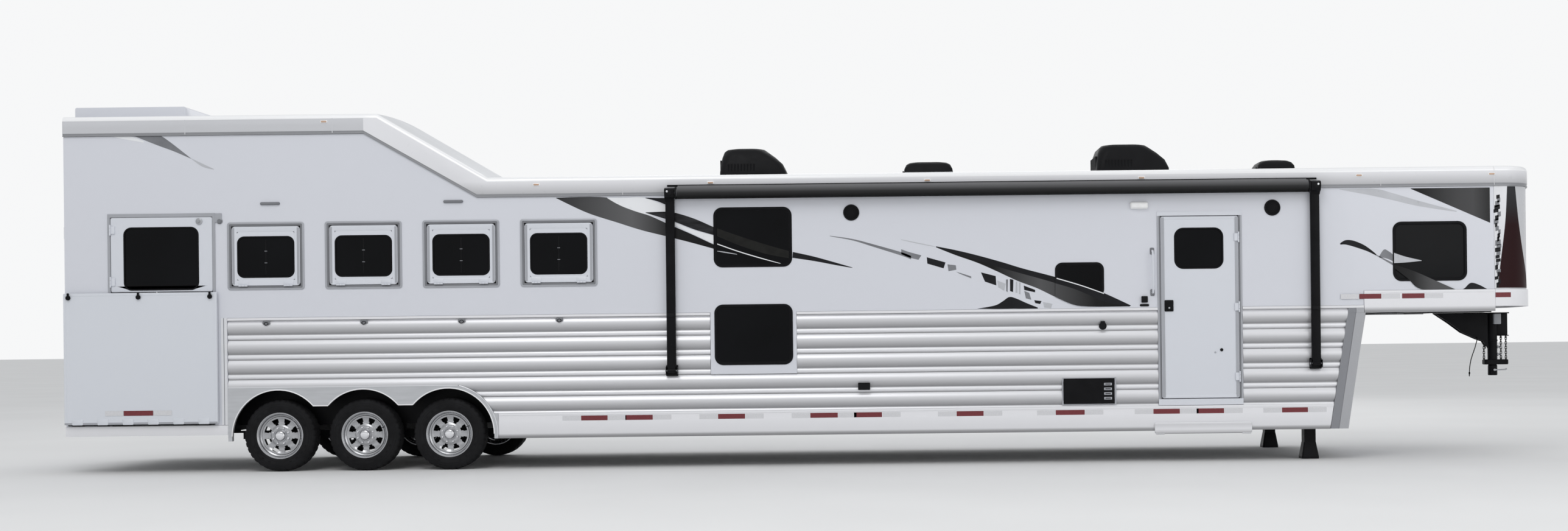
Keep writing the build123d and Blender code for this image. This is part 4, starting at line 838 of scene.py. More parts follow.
def entry_door():
    piece = Piece("entry door")
    c, size = (11570, 1570), (792, 1852)
    piece.panel(RIGHT, c, size, 20, [(4, 1176), (0, 1180), (0, 1210), (4, 1214), (30, 1214), (34, 1211)],
                DOOR_SKIN, caps=FIRST)
    # painted shade down both sides of the door leaf
    for s0, s1 in ((11178, 11209), (11931, 11962)):
        piece.plate(RIGHT, rect(s0, s1, 652, 2488), [], 1214, 1214.6, FRAME_GREY_AND_SHADE)
    pane = ((11562.5, 2170.5), (497, 415))
    inner = rounded(*pane, 90, 8)
    outer = rounded(c, (size[0] - 68, size[1] - 68), 8, 8)
    piece.plate(RIGHT, outer, [inner], 1206, 1211, DOOR_SKIN)
    piece.panel(RIGHT, *pane, 90, [(-3, 1211), (0, 1216), (12, 1216), (16, 1207)], BLACK, caps=OPEN)
    piece.panel(RIGHT, *pane, 90, [(14, 1199), (14, 1206)], GLASS)
    for z in (860, 1570, 2280):
        hinge(piece, (11966, z), 1228, 110, DOOR_SKIN)
        piece.box((11922, 11962), (-1226, -1212), (z - 40, z + 40), DOOR_SKIN)
    piece.panel(RIGHT, (11252, 1587), (92, 116), 10, [(0, 1211), (0, 1217), (4, 1219)], BLACK_PLASTIC,
                caps=LAST)
    piece.lathe(P(11784, 1211, 1133), OUTWARD, [(0, 16), (5, 16), (8, 9), (17, 7), (17, 0)], BLACK_PLASTIC,
                20)
    piece.lathe(P(11720, 1211, 1108), OUTWARD, [(0, 10), (5, 9), (6, 0)], FRAME_GREY_AND_SHADE, 16)
    piece.done("entry_door", ["entry_door"])
    paddle = Piece("door paddle")
    paddle.panel(RIGHT, (11252, 1583), (68, 74), 8, [(4, 1224), (0, 1227), (0, 1231), (6, 1234)], BLACK)
    paddle.tube([P(11218, 1229, 1624), P(11286, 1229, 1624)], 5, BLACK_PLASTIC)
    paddle.lathe(P(11252, 1234, 1565), OUTWARD, [(-2, 9), (0.4, 9), (0.6, 0)], GALVANISED, 18)
    paddle.done("door_paddle", ["door_paddle"])


entry_door()


# Reflector tape -----------------------------------------------------------------------------------------
def tape():
    """Red and white reflector tape in the rails' grooves, on the ramp and across the rear."""
    def strip(piece, spans, side, w, rail_z):
        used = []
        for s0, s1 in spans:
            for a, b, material in ((s0, s1, TAPE_RED), (s0 - 190, s0 - 4, TAPE_WHITE),
                                   (s1 + 4, s1 + 190, TAPE_WHITE)):
                if material == TAPE_RED or not any(a < middle < b for middle in used):
                    used.append((a + b) / 2)
                    outline = rounded(((a + b) / 2, rail_z), (b - a, 50), 3, 2)
                    piece.plate(side, outline, [], w - 0.2, w + 0.8, material)

    low = [(5250, 5520), (5700, 5980), (6645, 6920), (7585, 7865), (8030, 8315), (9075, 9350),
           (10085, 10380), (11080, 11350), (11520, 11800), (12390, 12655)]
    piece = Piece("reflector tape")
    for side in (RIGHT, LEFT):
        strip(piece, low, side, 1220, 513)
        strip(piece, [(13192, 13415), (13626, 13855)], side, 1220, 1660)
        bend = [[corner_point(along, proud, z, side) for along in range(-84, 80, 12)]
                for proud, z in ((13, 1634), (14.8, 1636), (14.8, 1684), (13, 1686))]
        piece.loft(bend, TAPE_RED, closed=False, caps=OPEN)
    piece.done("trailer")
    piece = Piece("ramp tape")
    strip(piece, [(610, 908)], RIGHT, 1262.2, 615)
    piece.done("side_ramp")
    piece = Piece("rear tape")
    for k in range(8):
        y0 = -1080 + 270 * k
        loops = [[spot(s, y, z) for y, z in rect(y0 + 4, y0 + 266, 395, 445)] for s in (-1, 0)]
        piece.loft(loops, TAPE_WHITE if k % 2 else TAPE_RED)
    piece.done("trailer")


tape()


# Vinyl graphics -----------------------------------------------------------------------------------------
def decal(piece, side, top, bottom, material, w, roof):
    """A vinyl band between a top curve and a bottom curve through (station, height) points."""
    upper, lower = smooth_line(top, 6), smooth_line(bottom, 6)
    count = min(len(upper), len(lower))
    rows = []
    for pair in zip(upper[:count], lower[:count]):
        rows.append([P(s, w, min(max(z, BELT + 2), roof), side) for s, z in pair])
    piece.loft(rows, material, closed=False, caps=OPEN)


BAND = fading("fading band", [(0, 0.03), (0.15, 0.05), (0.35, 0.09), (0.52, 0.12), (0.66, 0.06),
                              (0.78, 0.012), (1, 0.008)],
              "X", -2.64, -1.0, 0.35, 0.15)
BAND_2 = fading("second fading band", [(0, 0.008), (0.31, 0.010), (0.43, 0.05), (0.56, 0.09), (0.72, 0.05),
                                       (0.85, 0.012), (1, 0.008)], "X", 1.30, 3.22, 0.35, 0.15)
NOSE_FADE = fading("nose fading triangle", [(0, 0.008), (0.45, 0.012), (0.72, 0.06), (0.85, 0.07),
                                            (1, 0.015)],
                   "X", 5.65, 6.99, 0.35, 0.15)
BAND_3 = fading("third fading band", [(0, 0.008), (0.3, 0.02), (0.6, 0.09), (1, 0.10)], "X", 5.97, 6.64,
                0.35, 0.15)
ROCK = finish("rock vinyl", (0.02, 0.02, 0.022), 0.4, vary=0.6, scale=14, stretch=(0.4, 1, 2), shine=0.15)
SMOKE = finish("smoked film", (0.012, 0.012, 0.011), 0.35, vary=0.4, scale=9, shine=0.15)
SWOOSH_TOP = [(8885, 2220), (9080, 2180), (9300, 2125), (9560, 2050), (9765, 1985), (10040, 1910),
              (10315, 1830),
              (10590, 1725), (10865, 1595)]

# Each band: finish, layer, top curve, bottom curve, the curves as (station, height) points.
BANDS = [
    # rear corner swoosh
    (GREY_VINYL, 0, [(712, 3444), (885, 3436), (1003, 3434), (1299, 3207)],
     [(712, 3443), (959, 3342), (1125, 3279), (1305, 3200)]),
    (PALE_VINYL, 0, [(1299, 3207), (1429, 3143), (1535, 3092)],
     [(1305, 3200), (1417, 3118), (1535, 3086)]),
    # rear white streak
    (WHITE_VINYL, 0, [(483, 3448), (669, 3440), (824, 3383)],
     [(483, 3442), (607, 3410), (824, 3370)]),
    # first middle band
    (BAND, 0,
     [(5020, 2760), (5540, 2755), (5765, 2635), (5970, 2565), (6155, 2480), (6380, 2380), (6630, 2260)],
     [(5020, 2755), (5330, 2605), (5640, 2500), (5885, 2420), (6135, 2355), (6380, 2290), (6625, 2220)]),
    (WHITE_VINYL, 1, [(5540, 2755), (5725, 2750), (5910, 2750), (6155, 2655), (6240, 2615)],
     [(5540, 2750), (5640, 2690), (5765, 2635), (5970, 2575), (6240, 2580)]),
    (BLACK_VINYL, 2, [(5930, 2750), (6055, 2745), (6180, 2745)],
     [(5930, 2745), (6055, 2710), (6180, 2655)]),
    # second middle band
    (ROCK, 2, [(5930, 2600), (6135, 2605), (6240, 2590), (6425, 2530), (6625, 2440)],
     [(5930, 2595), (6135, 2530), (6240, 2495), (6425, 2420), (6625, 2360)]),
    (WHITE_VINYL, 2, [(6135, 2520), (6240, 2485), (6425, 2410), (6625, 2355)],
     [(6135, 2515), (6235, 2460), (6420, 2370), (6625, 2270)]),
    (BLACK_VINYL, 0, [(7425, 2180), (7640, 2130), (7865, 2065), (8030, 2015)],
     [(7420, 2120), (7640, 2085), (7865, 2040), (8030, 2010)]),
    # on the upper glass
    (SMOKE, "glass", [(6655, 2430), (6875, 2350), (7145, 2260), (7400, 2185)],
     [(6655, 2350), (6875, 2255), (7145, 2165), (7395, 2115)]),
    (WHITE_VINYL, "glass", [(6655, 2275), (6875, 2195), (7100, 2125), (7320, 2060)],
     [(6655, 2265), (6875, 2185), (7100, 2115), (7320, 2055)]),
    (PALE_VINYL, "glass", [(6655, 2200), (6730, 2190), (6855, 2165)],
     [(6655, 2195), (6730, 2180), (6855, 2160)]),
    # ragged line
    (GREY_VINYL, 0, [(7805, 2340), (8035, 2305), (8240, 2250), (8530, 2165), (8630, 2125)],
     [(7805, 2335), (8035, 2290), (8240, 2225), (8530, 2130), (8630, 2090)]),
    (PALE_VINYL, 0, [(8530, 2295), (8695, 2260), (8875, 2220)],
     [(8530, 2290), (8695, 2250), (8875, 2215)]),
    (GREY_VINYL, 0, [(8530, 2195), (8610, 2165), (8735, 2130)],
     [(8530, 2145), (8610, 2110), (8705, 2085)]),
    # hill at the sill
    (BLACK_VINYL, 0,
     [(9295, 1580), (9475, 1610), (9555, 1650), (9625, 1695), (9695, 1680), (9805, 1630), (9915, 1585)],
     [(9295, 1580), (9470, 1575), (9555, 1575), (9625, 1575), (9695, 1575), (9805, 1570), (9915, 1570)]),
    # large swoosh
    (BAND_2, 0, SWOOSH_TOP,
     [(8885, 2210), (9080, 2130), (9300, 2050), (9490, 1965), (9710, 1860), (9915, 1780), (10120, 1680),
      (10355, 1595), (10850, 1585)]),
    (BLACK_VINYL, 1, SWOOSH_TOP,
     [(8885, 2215), (9080, 2145), (9300, 2075), (9560, 1990), (9765, 1930), (10040, 1850), (10315, 1760),
      (10590, 1635), (10850, 1585)]),
    # large swoosh over the galley window
    (BAND_2, "galley", [(10095, 1895), (10315, 1830), (10590, 1725)],
     [(10095, 1690), (10315, 1600), (10590, 1590)]),
    (BLACK_VINYL, "galley 1", [(10095, 1895), (10315, 1830), (10590, 1725)],
     [(10095, 1830), (10315, 1760), (10590, 1635)]),
    (WHITE_VINYL, "galley 2", [(10110, 1885), (10355, 1810), (10590, 1725)],
     [(10110, 1875), (10355, 1800), (10590, 1715)]),
    # nose triangle
    (NOSE_FADE, 0, [(13730, 2755), (14105, 2755), (14535, 2755)],
     [(13730, 2750), (14105, 2585), (14535, 2395)]),
    # nose streak
    (PALE_VINYL, 0, [(13005, 2755), (13355, 2755), (13555, 2705), (13800, 2630), (14195, 2520)],
     [(13005, 2750), (13290, 2695), (13535, 2640), (13800, 2575), (14195, 2510)]),
    # nose rocks
    (BLACK_VINYL, 0,
     [(13005, 2205), (13060, 2235), (13135, 2230), (13225, 2195), (13290, 2155), (13370, 2090)],
     [(13005, 2190), (13060, 2190), (13135, 2170), (13225, 2140), (13290, 2115), (13370, 2075)]),
    (GREY_VINYL, 0, [(13400, 2065), (13450, 2135), (13500, 2115), (13545, 2080)],
     [(13400, 2055), (13450, 2050), (13500, 2035), (13545, 2010)]),
    (GREY_VINYL, 0, [(13370, 2085), (13545, 1995)],
     [(13370, 2075), (13545, 1970)]),
    # over the nose window
    (PALE_VINYL, "frame 1", [(13550, 2100), (13665, 2060), (13830, 2020)],
     [(13550, 1995), (13665, 2000), (13830, 2015)]),
    (BAND_3, "frame", [(13550, 1980), (13755, 1910), (13975, 1810), (14205, 1705)],
     [(13550, 1945), (13690, 1835), (13830, 1725), (14205, 1700)]),
    (BLACK_VINYL, 0, [(14205, 1705), (14265, 1730), (14330, 1785), (14415, 1765), (14515, 1710)],
     [(14205, 1700), (14265, 1700), (14330, 1700), (14415, 1700), (14515, 1700)]),
]
# Torn blocks: finish and the four corners, upper rear, upper front, lower rear, lower front.
BLOCKS = [
    (BLACK_VINYL, (8790, 2110), (8980, 2055), (8795, 2045), (8960, 1995)),
    (GREY_VINYL, (9000, 2035), (9085, 2025), (9010, 1965), (9090, 1980)),
    (GREY_VINYL, (9085, 1960), (9240, 1910), (9120, 1940), (9240, 1890)),
    (BLACK_VINYL, (9340, 1950), (9490, 1910), (9380, 1855), (9495, 1815)),
    (PALE_VINYL, (9505, 1865), (9590, 1830), (9515, 1795), (9575, 1760)),
    (GREY_VINYL, (9595, 1875), (9615, 1875), (9595, 1755), (9610, 1745)),
    (BLACK_VINYL, (9635, 1880), (9670, 1870), (9635, 1755), (9665, 1745)),
    (PALE_VINYL, (9695, 1855), (9710, 1850), (9690, 1740), (9710, 1735)),
    (PALE_VINYL, (9725, 1845), (9745, 1840), (9725, 1725), (9740, 1720)),
    (BLACK_VINYL, (9775, 1810), (9890, 1765), (9780, 1765), (9890, 1740)),
    (GREY_VINYL, (9780, 1755), (9830, 1735), (9795, 1680), (9850, 1665)),
    (BLACK_VINYL, (9880, 1660), (9955, 1650), (9890, 1630), (9940, 1620)),
    (PALE_VINYL, (9970, 1640), (10065, 1620), (9980, 1585), (10050, 1575)),
]
# Distance from the middle for the layers that lie on glass or on a window frame.
LAYERS = {"glass": 1205.2, "frame": 1218.8, "frame 1": 1219.0, "galley": 1218.8, "galley 1": 1219.0,
          "galley 2": 1219.2}


VINYL_OUT = 1211.1  # distance of the torn blocks from the middle


def graphics():
    """Vinyl bands and torn blocks on both side walls."""
    for side in (RIGHT, LEFT):
        piece = Piece("graphics " + SIDE_NAME[side])
        for material, layer, top, bottom in BANDS:
            if side == LEFT and str(layer).startswith("galley"):
                continue
            w = LAYERS[layer] if layer in LAYERS else 1210.8 + 0.3 * layer
            roof = HIGH_CAP if top[0][0] < REAR_LEVEL else LOW_CAP
            decal(piece, side, top, bottom, material, w, roof)
        for material, *corners in BLOCKS:
            a, b, c, d = [P(s, VINYL_OUT, z, side) for s, z in corners]
            piece.loft([[a, b], [c, d]], material, closed=False, caps=OPEN)
        # the torn strip beside the nose corner
        rng = random.Random(7)
        for k in range(26):
            s, z = 14612 + rng.uniform(-18, 18), 1760 + 36 * k
            a, b = rng.uniform(10, 30), rng.uniform(18, 38)
            torn = [(s - a, z - b), (s + a, z - b * 0.6), (s - a, z + b * 0.7), (s + a, z + b)]
            torn = [P(u, VINYL_OUT, v, side) for u, v in torn]
            piece.loft([torn[:2], torn[2:]], rng.choice([BLACK_VINYL, GREY_VINYL]), closed=False, caps=OPEN)
        piece.done("trailer")


graphics()


def nose_stripe():
    """Painted reflection: a dark triangle mirrored in each stainless nose corner."""
    piece = Piece("nose corner stripes")
    # (height, from, to), the last two in millimetres along the wall past the corner's start
    rows = [(2766, 53, 148), (2410, 30, 193), (2071, -13, 273), (1732, -57, 418)]
    for side in (RIGHT, LEFT):
        loops = []
        for z, near, far in smooth_line(rows, 6):
            loops.append([corner_point(near + (far - near) * k / 16, 0.8, z, side) for k in range(17)])
        piece.loft(loops, NOSE_DARK, closed=False, caps=OPEN)
    piece.done("trailer")


nose_stripe()


# Rivets -------------------------------------------------------------------------------------------------
def rivet_master():
    piece = Piece("rivet")
    piece.lathe((0, 0, 0), (0, 1, 0), [(-1, 1), (0.15, 1), (0.55, 0.75), (0.8, 0.35), (0.85, 0.02)], TRIM, 10)
    return piece


def rivets():
    for side in (RIGHT, LEFT):
        points = []
        turn = (0, 0, pi) if side == RIGHT else (0, 0, 0)
        for k in range(100):
            points.append(P(4300 + 103 * k, 1226, 2900, side))
        for k in range(29):
            points.append(P(40 + 103 * k, 1226, 3564, side))
        for k in range(12):
            points.append(P(1640, WALL_OUT, 640 + 78 * k, side))
        for k in range(118):
            s = 1700 + 98 * k
            if side == LEFT or not 11100 < s < 12020:
                points.append(P(s, 1222, 1556, side))
        for k in range(15):
            z = 400 + 70 * k
            s = 13062 + (z - 316) * 196 / 1180
            points.append(P(s - 50, 1221, z, side))
        repeat("rivets " + str(side), rivet_master(), points, RAIL, "trailer", (0.0045, 0.0045, 0.0045),
               [turn] * len(points))


rivets()


# Wheels -------------------------------------------------------------------------------------------------
def tyre_profile(notch):
    """(outboard, radius) points of the tyre's skin, with or without a shoulder notch."""
    out = [(-66, 225), (-84, 225), (-92, 236), (-101, 262), (-107, 292), (-107.3, 305), (-104, 328)]
    depth = 8 if notch else 0
    out += [(-98, 347 - depth), (-86, 359 - depth), (-66, 364 - depth)]
    for groove in (-50, -17, 17, 50):
        out += [(groove - 6, 365 - (depth if abs(groove) > 40 and groove < 0 else 0)), (groove - 5, 354),
                (groove + 5, 354), (groove + 6, 365 - (depth if abs(groove) > 40 and groove > 0 else 0))]
    out += [(66, 364 - depth), (86, 359 - depth), (98, 347 - depth), (104, 328), (107.3, 305), (107, 292),
            (101, 262),
            (92, 236), (84, 225), (66, 225)]
    return out


def wheel(letter, number, station):
    side = RIGHT if letter == "r" else LEFT
    middle = Vector(P(station, WHEEL_OUT, AXLE_HIGH, side))

    def spun(angle, r, d):
        """A point at an angle and a radius, a distance outboard of the wheel's middle."""
        return middle + Vector((cos(angle) * r / 1000, side * d / 1000, sin(angle) * r / 1000))

    def turned(piece, profile, material, n, **ends):
        piece.lathe(middle, (0, side, 0), profile, material, n, **ends)

    tyre = Piece(f"tyre {letter}{number}")
    steps = 144
    loops = []
    for k in range(steps):
        loops.append([spun(2 * pi * k / steps, r, d) for d, r in tyre_profile(k % 4 == 0)])
    tyre.loft(loops, TYRE, closed=False, ring=True)
    inner = [(66, 225), (72, 250), (92, 292), (80, 340), (-80, 340), (-92, 292), (-72, 250), (-66, 225)]
    turned(tyre, inner, RUBBER, 72, caps=OPEN)
    # ribs round the sidewall: radius, height and distance outboard
    for r, height, d in ((300, 1.2, 107), (262, 1.0, 101), (322, 1.0, 104.5)):
        rib = [(d - 2, r - 3), (d + height, r - 1.5), (d + height, r + 1.5), (d - 2, r + 3)]
        turned(tyre, rib, RUBBER, 72, caps=OPEN)
    # raised blocks on the sidewall, in four groups of four
    for k in range(24):
        if k % 6 not in (0, 5):
            a = 2 * pi * (k + 0.5) / 24
            block = ((-0.05, 102), (-0.045, 107.4), (0.045, 107.4), (0.05, 102))
            tyre.loft([[spun(a + t, r, d) for t, d in block] for r in (277, 290)], RUBBER)
    tyre.done(f"wheel_{letter}{number}", [f"tyre_{letter}{number}"], 30)

    rim = Piece(f"rim {letter}{number}")
    barrel = [(-96, 229), (-96, 238), (-89, 238), (-89, 224.3), (-58, 222), (-42, 200), (42, 200),
              (58, 222), (89, 224.3),
              (89, 238), (94, 238), (96, 236), (96, 229), (88, 220), (80, 214), (63, 211), (50, 192),
              (-46, 192), (-63, 213), (-82, 215)]
    turned(rim, barrel, ALLOY, 96, ring=True)
    # disc: radial rings and angle steps, with eight windows left open
    n = 96
    rings = [70, 82, 96, 104, 112, 122, 134, 146, 158, 168, 176, 184, 193]
    heights = [54, 55, 52, 47, 43.5, 41, 40.5, 41.5, 44, 48, 52, 56, 57]

    def open_at(i, k):
        r = (rings[i] + rings[i + 1]) / 2
        if not 112 < r < 176:
            return False
        return abs(((k + 0.5) / n * 8) % 1 - 0.5) < 0.17 + 0.09 * (r - 112) / 64

    def cell(i, k):
        """The corners between rings i and i + 1 and angle steps k and k + 1."""
        return i * n + k, i * n + (k + 1) % n, (i + 1) * n + k, (i + 1) * n + (k + 1) % n

    slot = rim._slot(ALLOY)
    for flip in (False, True):
        base = len(rim.verts)
        for r, h in zip(rings, heights):
            for k in range(n):
                a = 2 * pi * k / n
                bulge = 1.6 * cos(8 * a + pi) if 104 < r < 184 else 0
                rim.verts.append(tuple(spun(a, r, h + (-13 if flip else bulge))))
        for i in range(len(rings) - 1):
            for k in range(n):
                if not open_at(i, k):
                    a, b, c, d = cell(i, k)
                    rim.faces.append((base + a, base + b, base + d, base + c))
                    rim.index.append(slot)
    # walls of the windows, between the disc's two skins
    front = base - len(rings) * n
    for i in range(len(rings) - 1):
        for k in range(n):
            if open_at(i, k):
                a, b, c, d = cell(i, k)
                beside = ((i - 1, k, a, b), (i + 1, k, c, d), (i, (k - 1) % n, a, c), (i, (k + 1) % n, b, d))
                for row, column, e, f in beside:
                    if not open_at(row, column):
                        rim.faces.append((front + e, front + f, base + f, base + e))
                        rim.index.append(slot)
    turned(rim, [(40, 73), (56, 73), (58, 70), (58, 64), (52, 60), (52, 52)], ALLOY, 64, caps=OPEN)
    cap = [(52, 54), (60, 52), (86, 50), (96, 46), (102, 38), (104, 24), (105, 6), (105, 0)]
    turned(rim, cap, CHROME, 48, caps=OPEN)
    turned(rim, [(86, 50.5), (88, 51), (90, 50)], BLACK, 48, caps=OPEN)
    # valve stem
    rim.tube([spun(pi / 8, 186, 58), spun(pi / 8, 186, 80)], [4, 3.4], RUBBER)
    rim.done(f"wheel_{letter}{number}", [f"rim_{letter}{number}"], 32)
    nut = Piece("nut")
    nut.lathe((0, 0, 0), (0, 1, 0), [(0, 13), (3, 13), (18, 12.4), (23, 9), (24, 3)], CHROME, 6)
    points = [spun(2 * pi * (k + 0.5) / 8, 82.5, 54) for k in range(8)]
    turn = (0, 0, 0) if side == LEFT else (0, 0, pi)
    repeat(f"wheel nuts {letter}{number}", nut, points, CHROME, f"wheel_{letter}{number}", (1, 1, 1),
           [turn] * 8)


for letter in "rl":
    for number, station in enumerate(WHEELS, 1):
        wheel(letter, number, station)


# Arch mouldings -----------------------------------------------------------------------------------------
def arches():
    piece = Piece("wheel arch mouldings")
    for side in (RIGHT, LEFT):
        path = []
        for i, s in enumerate(WHEELS):
            # each arch is cut off by the flat over the gap between two wheels
            valley = 669
            cut = acos((valley - AXLE_HIGH) / ARCH)
            start = pi / 2 + (pi / 2 if i == 0 else cut)
            end = pi / 2 - (pi / 2 if i == 2 else cut)
            for k in range(25):
                a = start + (end - start) * k / 24
                path.append(P(s + ARCH * cos(a), 1229, AXLE_HIGH + ARCH * sin(a), side))
        piece.tube(path, 6, TRIM, 8)
        # covers over the panel's top joint and its round front lip
        piece.plate(side, rect(1659, 4000, 857, 866), [], 1228, 1231, RAIL)
        lip = [radians(76.5 - 80 * k / 24) for k in range(25)]
        piece.tube([P(WHEELS[2] + 505 * cos(a), 1229, AXLE_HIGH + 505 * sin(a), side) for a in lip], 5,
                   RAIL, 8)
    piece.done("trailer")


arches()


# Awning -------------------------------------------------------------------------------------------------
ARMS = (6184, 12736)
ROLL_OUT, ROLL_HIGH = 1296, 2786  # axis of the roller
CANOPY_TURNS, CANOPY_IN, CANOPY_OUT = 7, 44.0, 63.0  # turns round the tube, and their first and last radius


def awning():
    arms = Piece("awning arms")
    for s in ARMS:
        # main arm: channel with rolled edges
        section = [(-46, 1248), (-46, 1270), (-40, 1278), (-26, 1281.5), (26, 1281.5), (40, 1278),
                   (46, 1270), (46, 1248),
                   (38, 1246), (34, 1262), (-34, 1262), (-38, 1246)]
        loops = [[P(s + a, w, z) for a, w in section] for z in (1010, 1016, 2690, 2720)]
        arms.loft(loops, BLACK)
        inner = [(-30, 1250), (-30, 1262), (30, 1262), (30, 1250)]
        arms.loft([[P(s + a, w, z) for a, w in inner] for z in (1100, 2600)], BLACK_PLASTIC)
        # foot and knuckle
        arms.lathe(P(s - 44, 1264, 985), (1, 0, 0), [(0, 10), (0, 19), (88, 19), (88, 10)], BLACK, 24)
        arms.box((s - 40, s + 40), (-1278, -1250), (985, 1016), BLACK, 5)
        # head block and its bolt
        head = [(1247, 2716), (1250, 2838), (1300, 2840), (1340, 2826), (1346, 2786), (1330, 2740),
                (1296, 2722), (1282, 2700)]
        arms.loft([[P(s + a, w, z) for w, z in head] for a in (-48, -44, 44, 48)], BLACK)
        sign = 1 if s == ARMS[0] else -1
        arms.lathe(P(s + 20 * -sign, 1347, 2800), OUTWARD, [(-4, 11), (0, 11), (3, 8), (3.5, 0)], CHROME, 18)
        arms.lathe(P(s, 1345, 2786), OUTWARD, [(-6, 26), (0, 26), (2, 22), (2, 0)], BLACK_PLASTIC, 24)
        for z in (1250, 1800, 2350):
            arms.lathe(P(s, 1281, z), OUTWARD, [(-2, 7), (1, 7), (2, 4), (2, 0)], BLACK_PLASTIC, 12)
        arms.box((s - 36, s + 36), (-1290, -1280), (1530, 1570), BLACK_PLASTIC, 4)
    arms.done("awning_arms", ["awning_arms"])
    roller = Piece("awning roller tube")
    middle = Vector(P((6238 + 12682) / 2, ROLL_OUT, ROLL_HIGH))
    half = (12682 - 6238) / 2
    roller.lathe(middle, (1, 0, 0), [(-half - 90, 11), (-half, 11), (-half, 40), (-half + 30, 42),
                                     (half - 30, 42), (half, 40), (half, 11), (half + 90, 11)], GALVANISED,
                                     36)
    for end in (-1, 1):
        centre = middle + Vector((end * (half - 12) / 1000, 0, 0))
        roller.lathe(centre, (end, 0, 0), [(-6, 42), (-6, 62), (4, 64), (10, 60), (10, 30)], BLACK_PLASTIC,
                     36)
    roller.done("awning_roller", ["awning_roller"])


awning()


def canopy():
    """One sheet: from the wall rail down on to the roll and round it to the tube."""
    line = []
    contact = radians(118)
    steps = 30
    rail = (1240, 2866)
    on_roll = (ROLL_OUT + CANOPY_OUT * cos(contact), ROLL_HIGH + CANOPY_OUT * sin(contact))
    for k in range(8):
        t = k / 8
        sag = 1.8 * sin(pi * t)
        line.append((rail[0] + (on_roll[0] - rail[0]) * t, rail[1] + (on_roll[1] - rail[1]) * t - sag))
    total = CANOPY_TURNS * steps
    for k in range(total + 1):
        a = contact - 2 * pi * k / steps
        r = CANOPY_OUT - (CANOPY_OUT - CANOPY_IN) * k / total
        line.append((ROLL_OUT + r * cos(a), ROLL_HIGH + r * sin(a)))
    s0, s1 = 6262, 12658
    piece = Piece("awning canopy")
    columns = 12
    loops = [[P(s0 + (s1 - s0) * j / columns, w, z) for w, z in line] for j in range(columns + 1)]
    piece.loft(loops, FABRIC_PAINTED_SHADE, closed=False, caps=OPEN)
    thing = piece.done("trailer", (), 60)
    thing.parent = None
    del thing["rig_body"]
    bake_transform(thing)
    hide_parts("awning_canopy")


canopy()


# Roof units ---------------------------------------------------------------------------------------------
VENTS = ((8589, 9098, 500, 3187), (12402, 12787, 380, 3170))  # rear, front, width and top of each lid


def roof_units():
    piece = Piece("roof units")
    base = 3021
    for s0, s1 in ((6608, 7320), (10642, 11419)):
        loops = []
        for z, rear, front, side_in, r in (
            (base, 0, 0, 0, 60), (base + 60, 0, 0, 0, 70), (base + 150, 8, 40, 10, 90),
            (base + 225, 22, 120, 26, 110),
            (base + 285, 42, 200, 50, 120), (base + 312, 70, 235, 80, 120), (base + 323, 120, 275, 130, 110),
        ):
            a, b = s0 + rear, s1 - front
            loops.append(level(((a + b) / 2, 0), (b - a, 700 - 2 * side_in), r, z, 6))
        piece.loft(loops, BLACK_PLASTIC)
        for k in range(9):
            for y in (-1, 1):
                s = s0 + 90 + 34 * k
                piece.box((s, s + 14), (y * 330, y * 351 - y * 2), (base + 60, base + 150), BLACK, 3)
        for k in range(12):
            y = -220 + 40 * k
            piece.box((s0 - 2, s0 + 14), (y, y + 16), (base + 50, base + 200), BLACK, 3)
    for s0, s1, width, _ in VENTS:
        for y0, y1 in ((-width / 2, -width / 2 + 40), (width / 2 - 40, width / 2)):
            piece.box((s0, s1), (y0, y1), (base, base + 50), WHITE_VINYL, 6)
        for a, b in ((s0, s0 + 40), (s1 - 40, s1)):
            piece.box((a, b), (-width / 2 + 40, width / 2 - 40), (base, base + 50), WHITE_VINYL, 6)
        piece.box((s0 + 42, s1 - 42), (-width / 2 + 42, width / 2 - 42), (base - 2, base + 12), SCREEN, 2)
    # rear pod
    loops = []
    crown = [(-1000 + 100 * k) for k in range(21)]
    for s, inset in ((21, 24), (32, 6), (46, 0), (1154, 0), (1168, 6), (1179, 24)):
        top = [(y * (1 - inset / 1000), 3759.5 - inset) for y in crown]
        low = [(y * (1 - inset / 1000), 3640 + 45 * (1 - (y / 1149) ** 2) + 3) for y in reversed(crown)]
        loops.append([spot(s, y, z) for y, z in top + low])
    piece.loft(loops, SKIN)
    piece.done("trailer", ["roof_units"])
    for number, (s0, s1, width, top) in enumerate(VENTS, 1):
        lid = Piece(f"vent lid {number}")
        low = base + 54
        a, b, hw = s0 - 8, s1 + 8, width / 2 + 8
        loops = []
        for z, inset, r in ((low + 12, 6, 30), (low, 4, 30), (low, 0, 30), (low + 30, 4, 40),
                            (low + (top - low) * 0.7, 26, 60),
                            (low + (top - low) * 0.9, 60, 70), (top, 120, 60)):
            loops.append(level(((a + b) / 2, 0), (b - a - 2 * inset, 2 * hw - 2 * inset), r, z, 6))
        lid.loft(loops, BLACK_PLASTIC)
        lid.tube([spot(s0 - 16, width * share, low + 8) for share in (-0.35, 0.35)], 7, BLACK)
        lid.done(f"vent_lid_{number}", [f"vent_lid_{number}"])


roof_units()


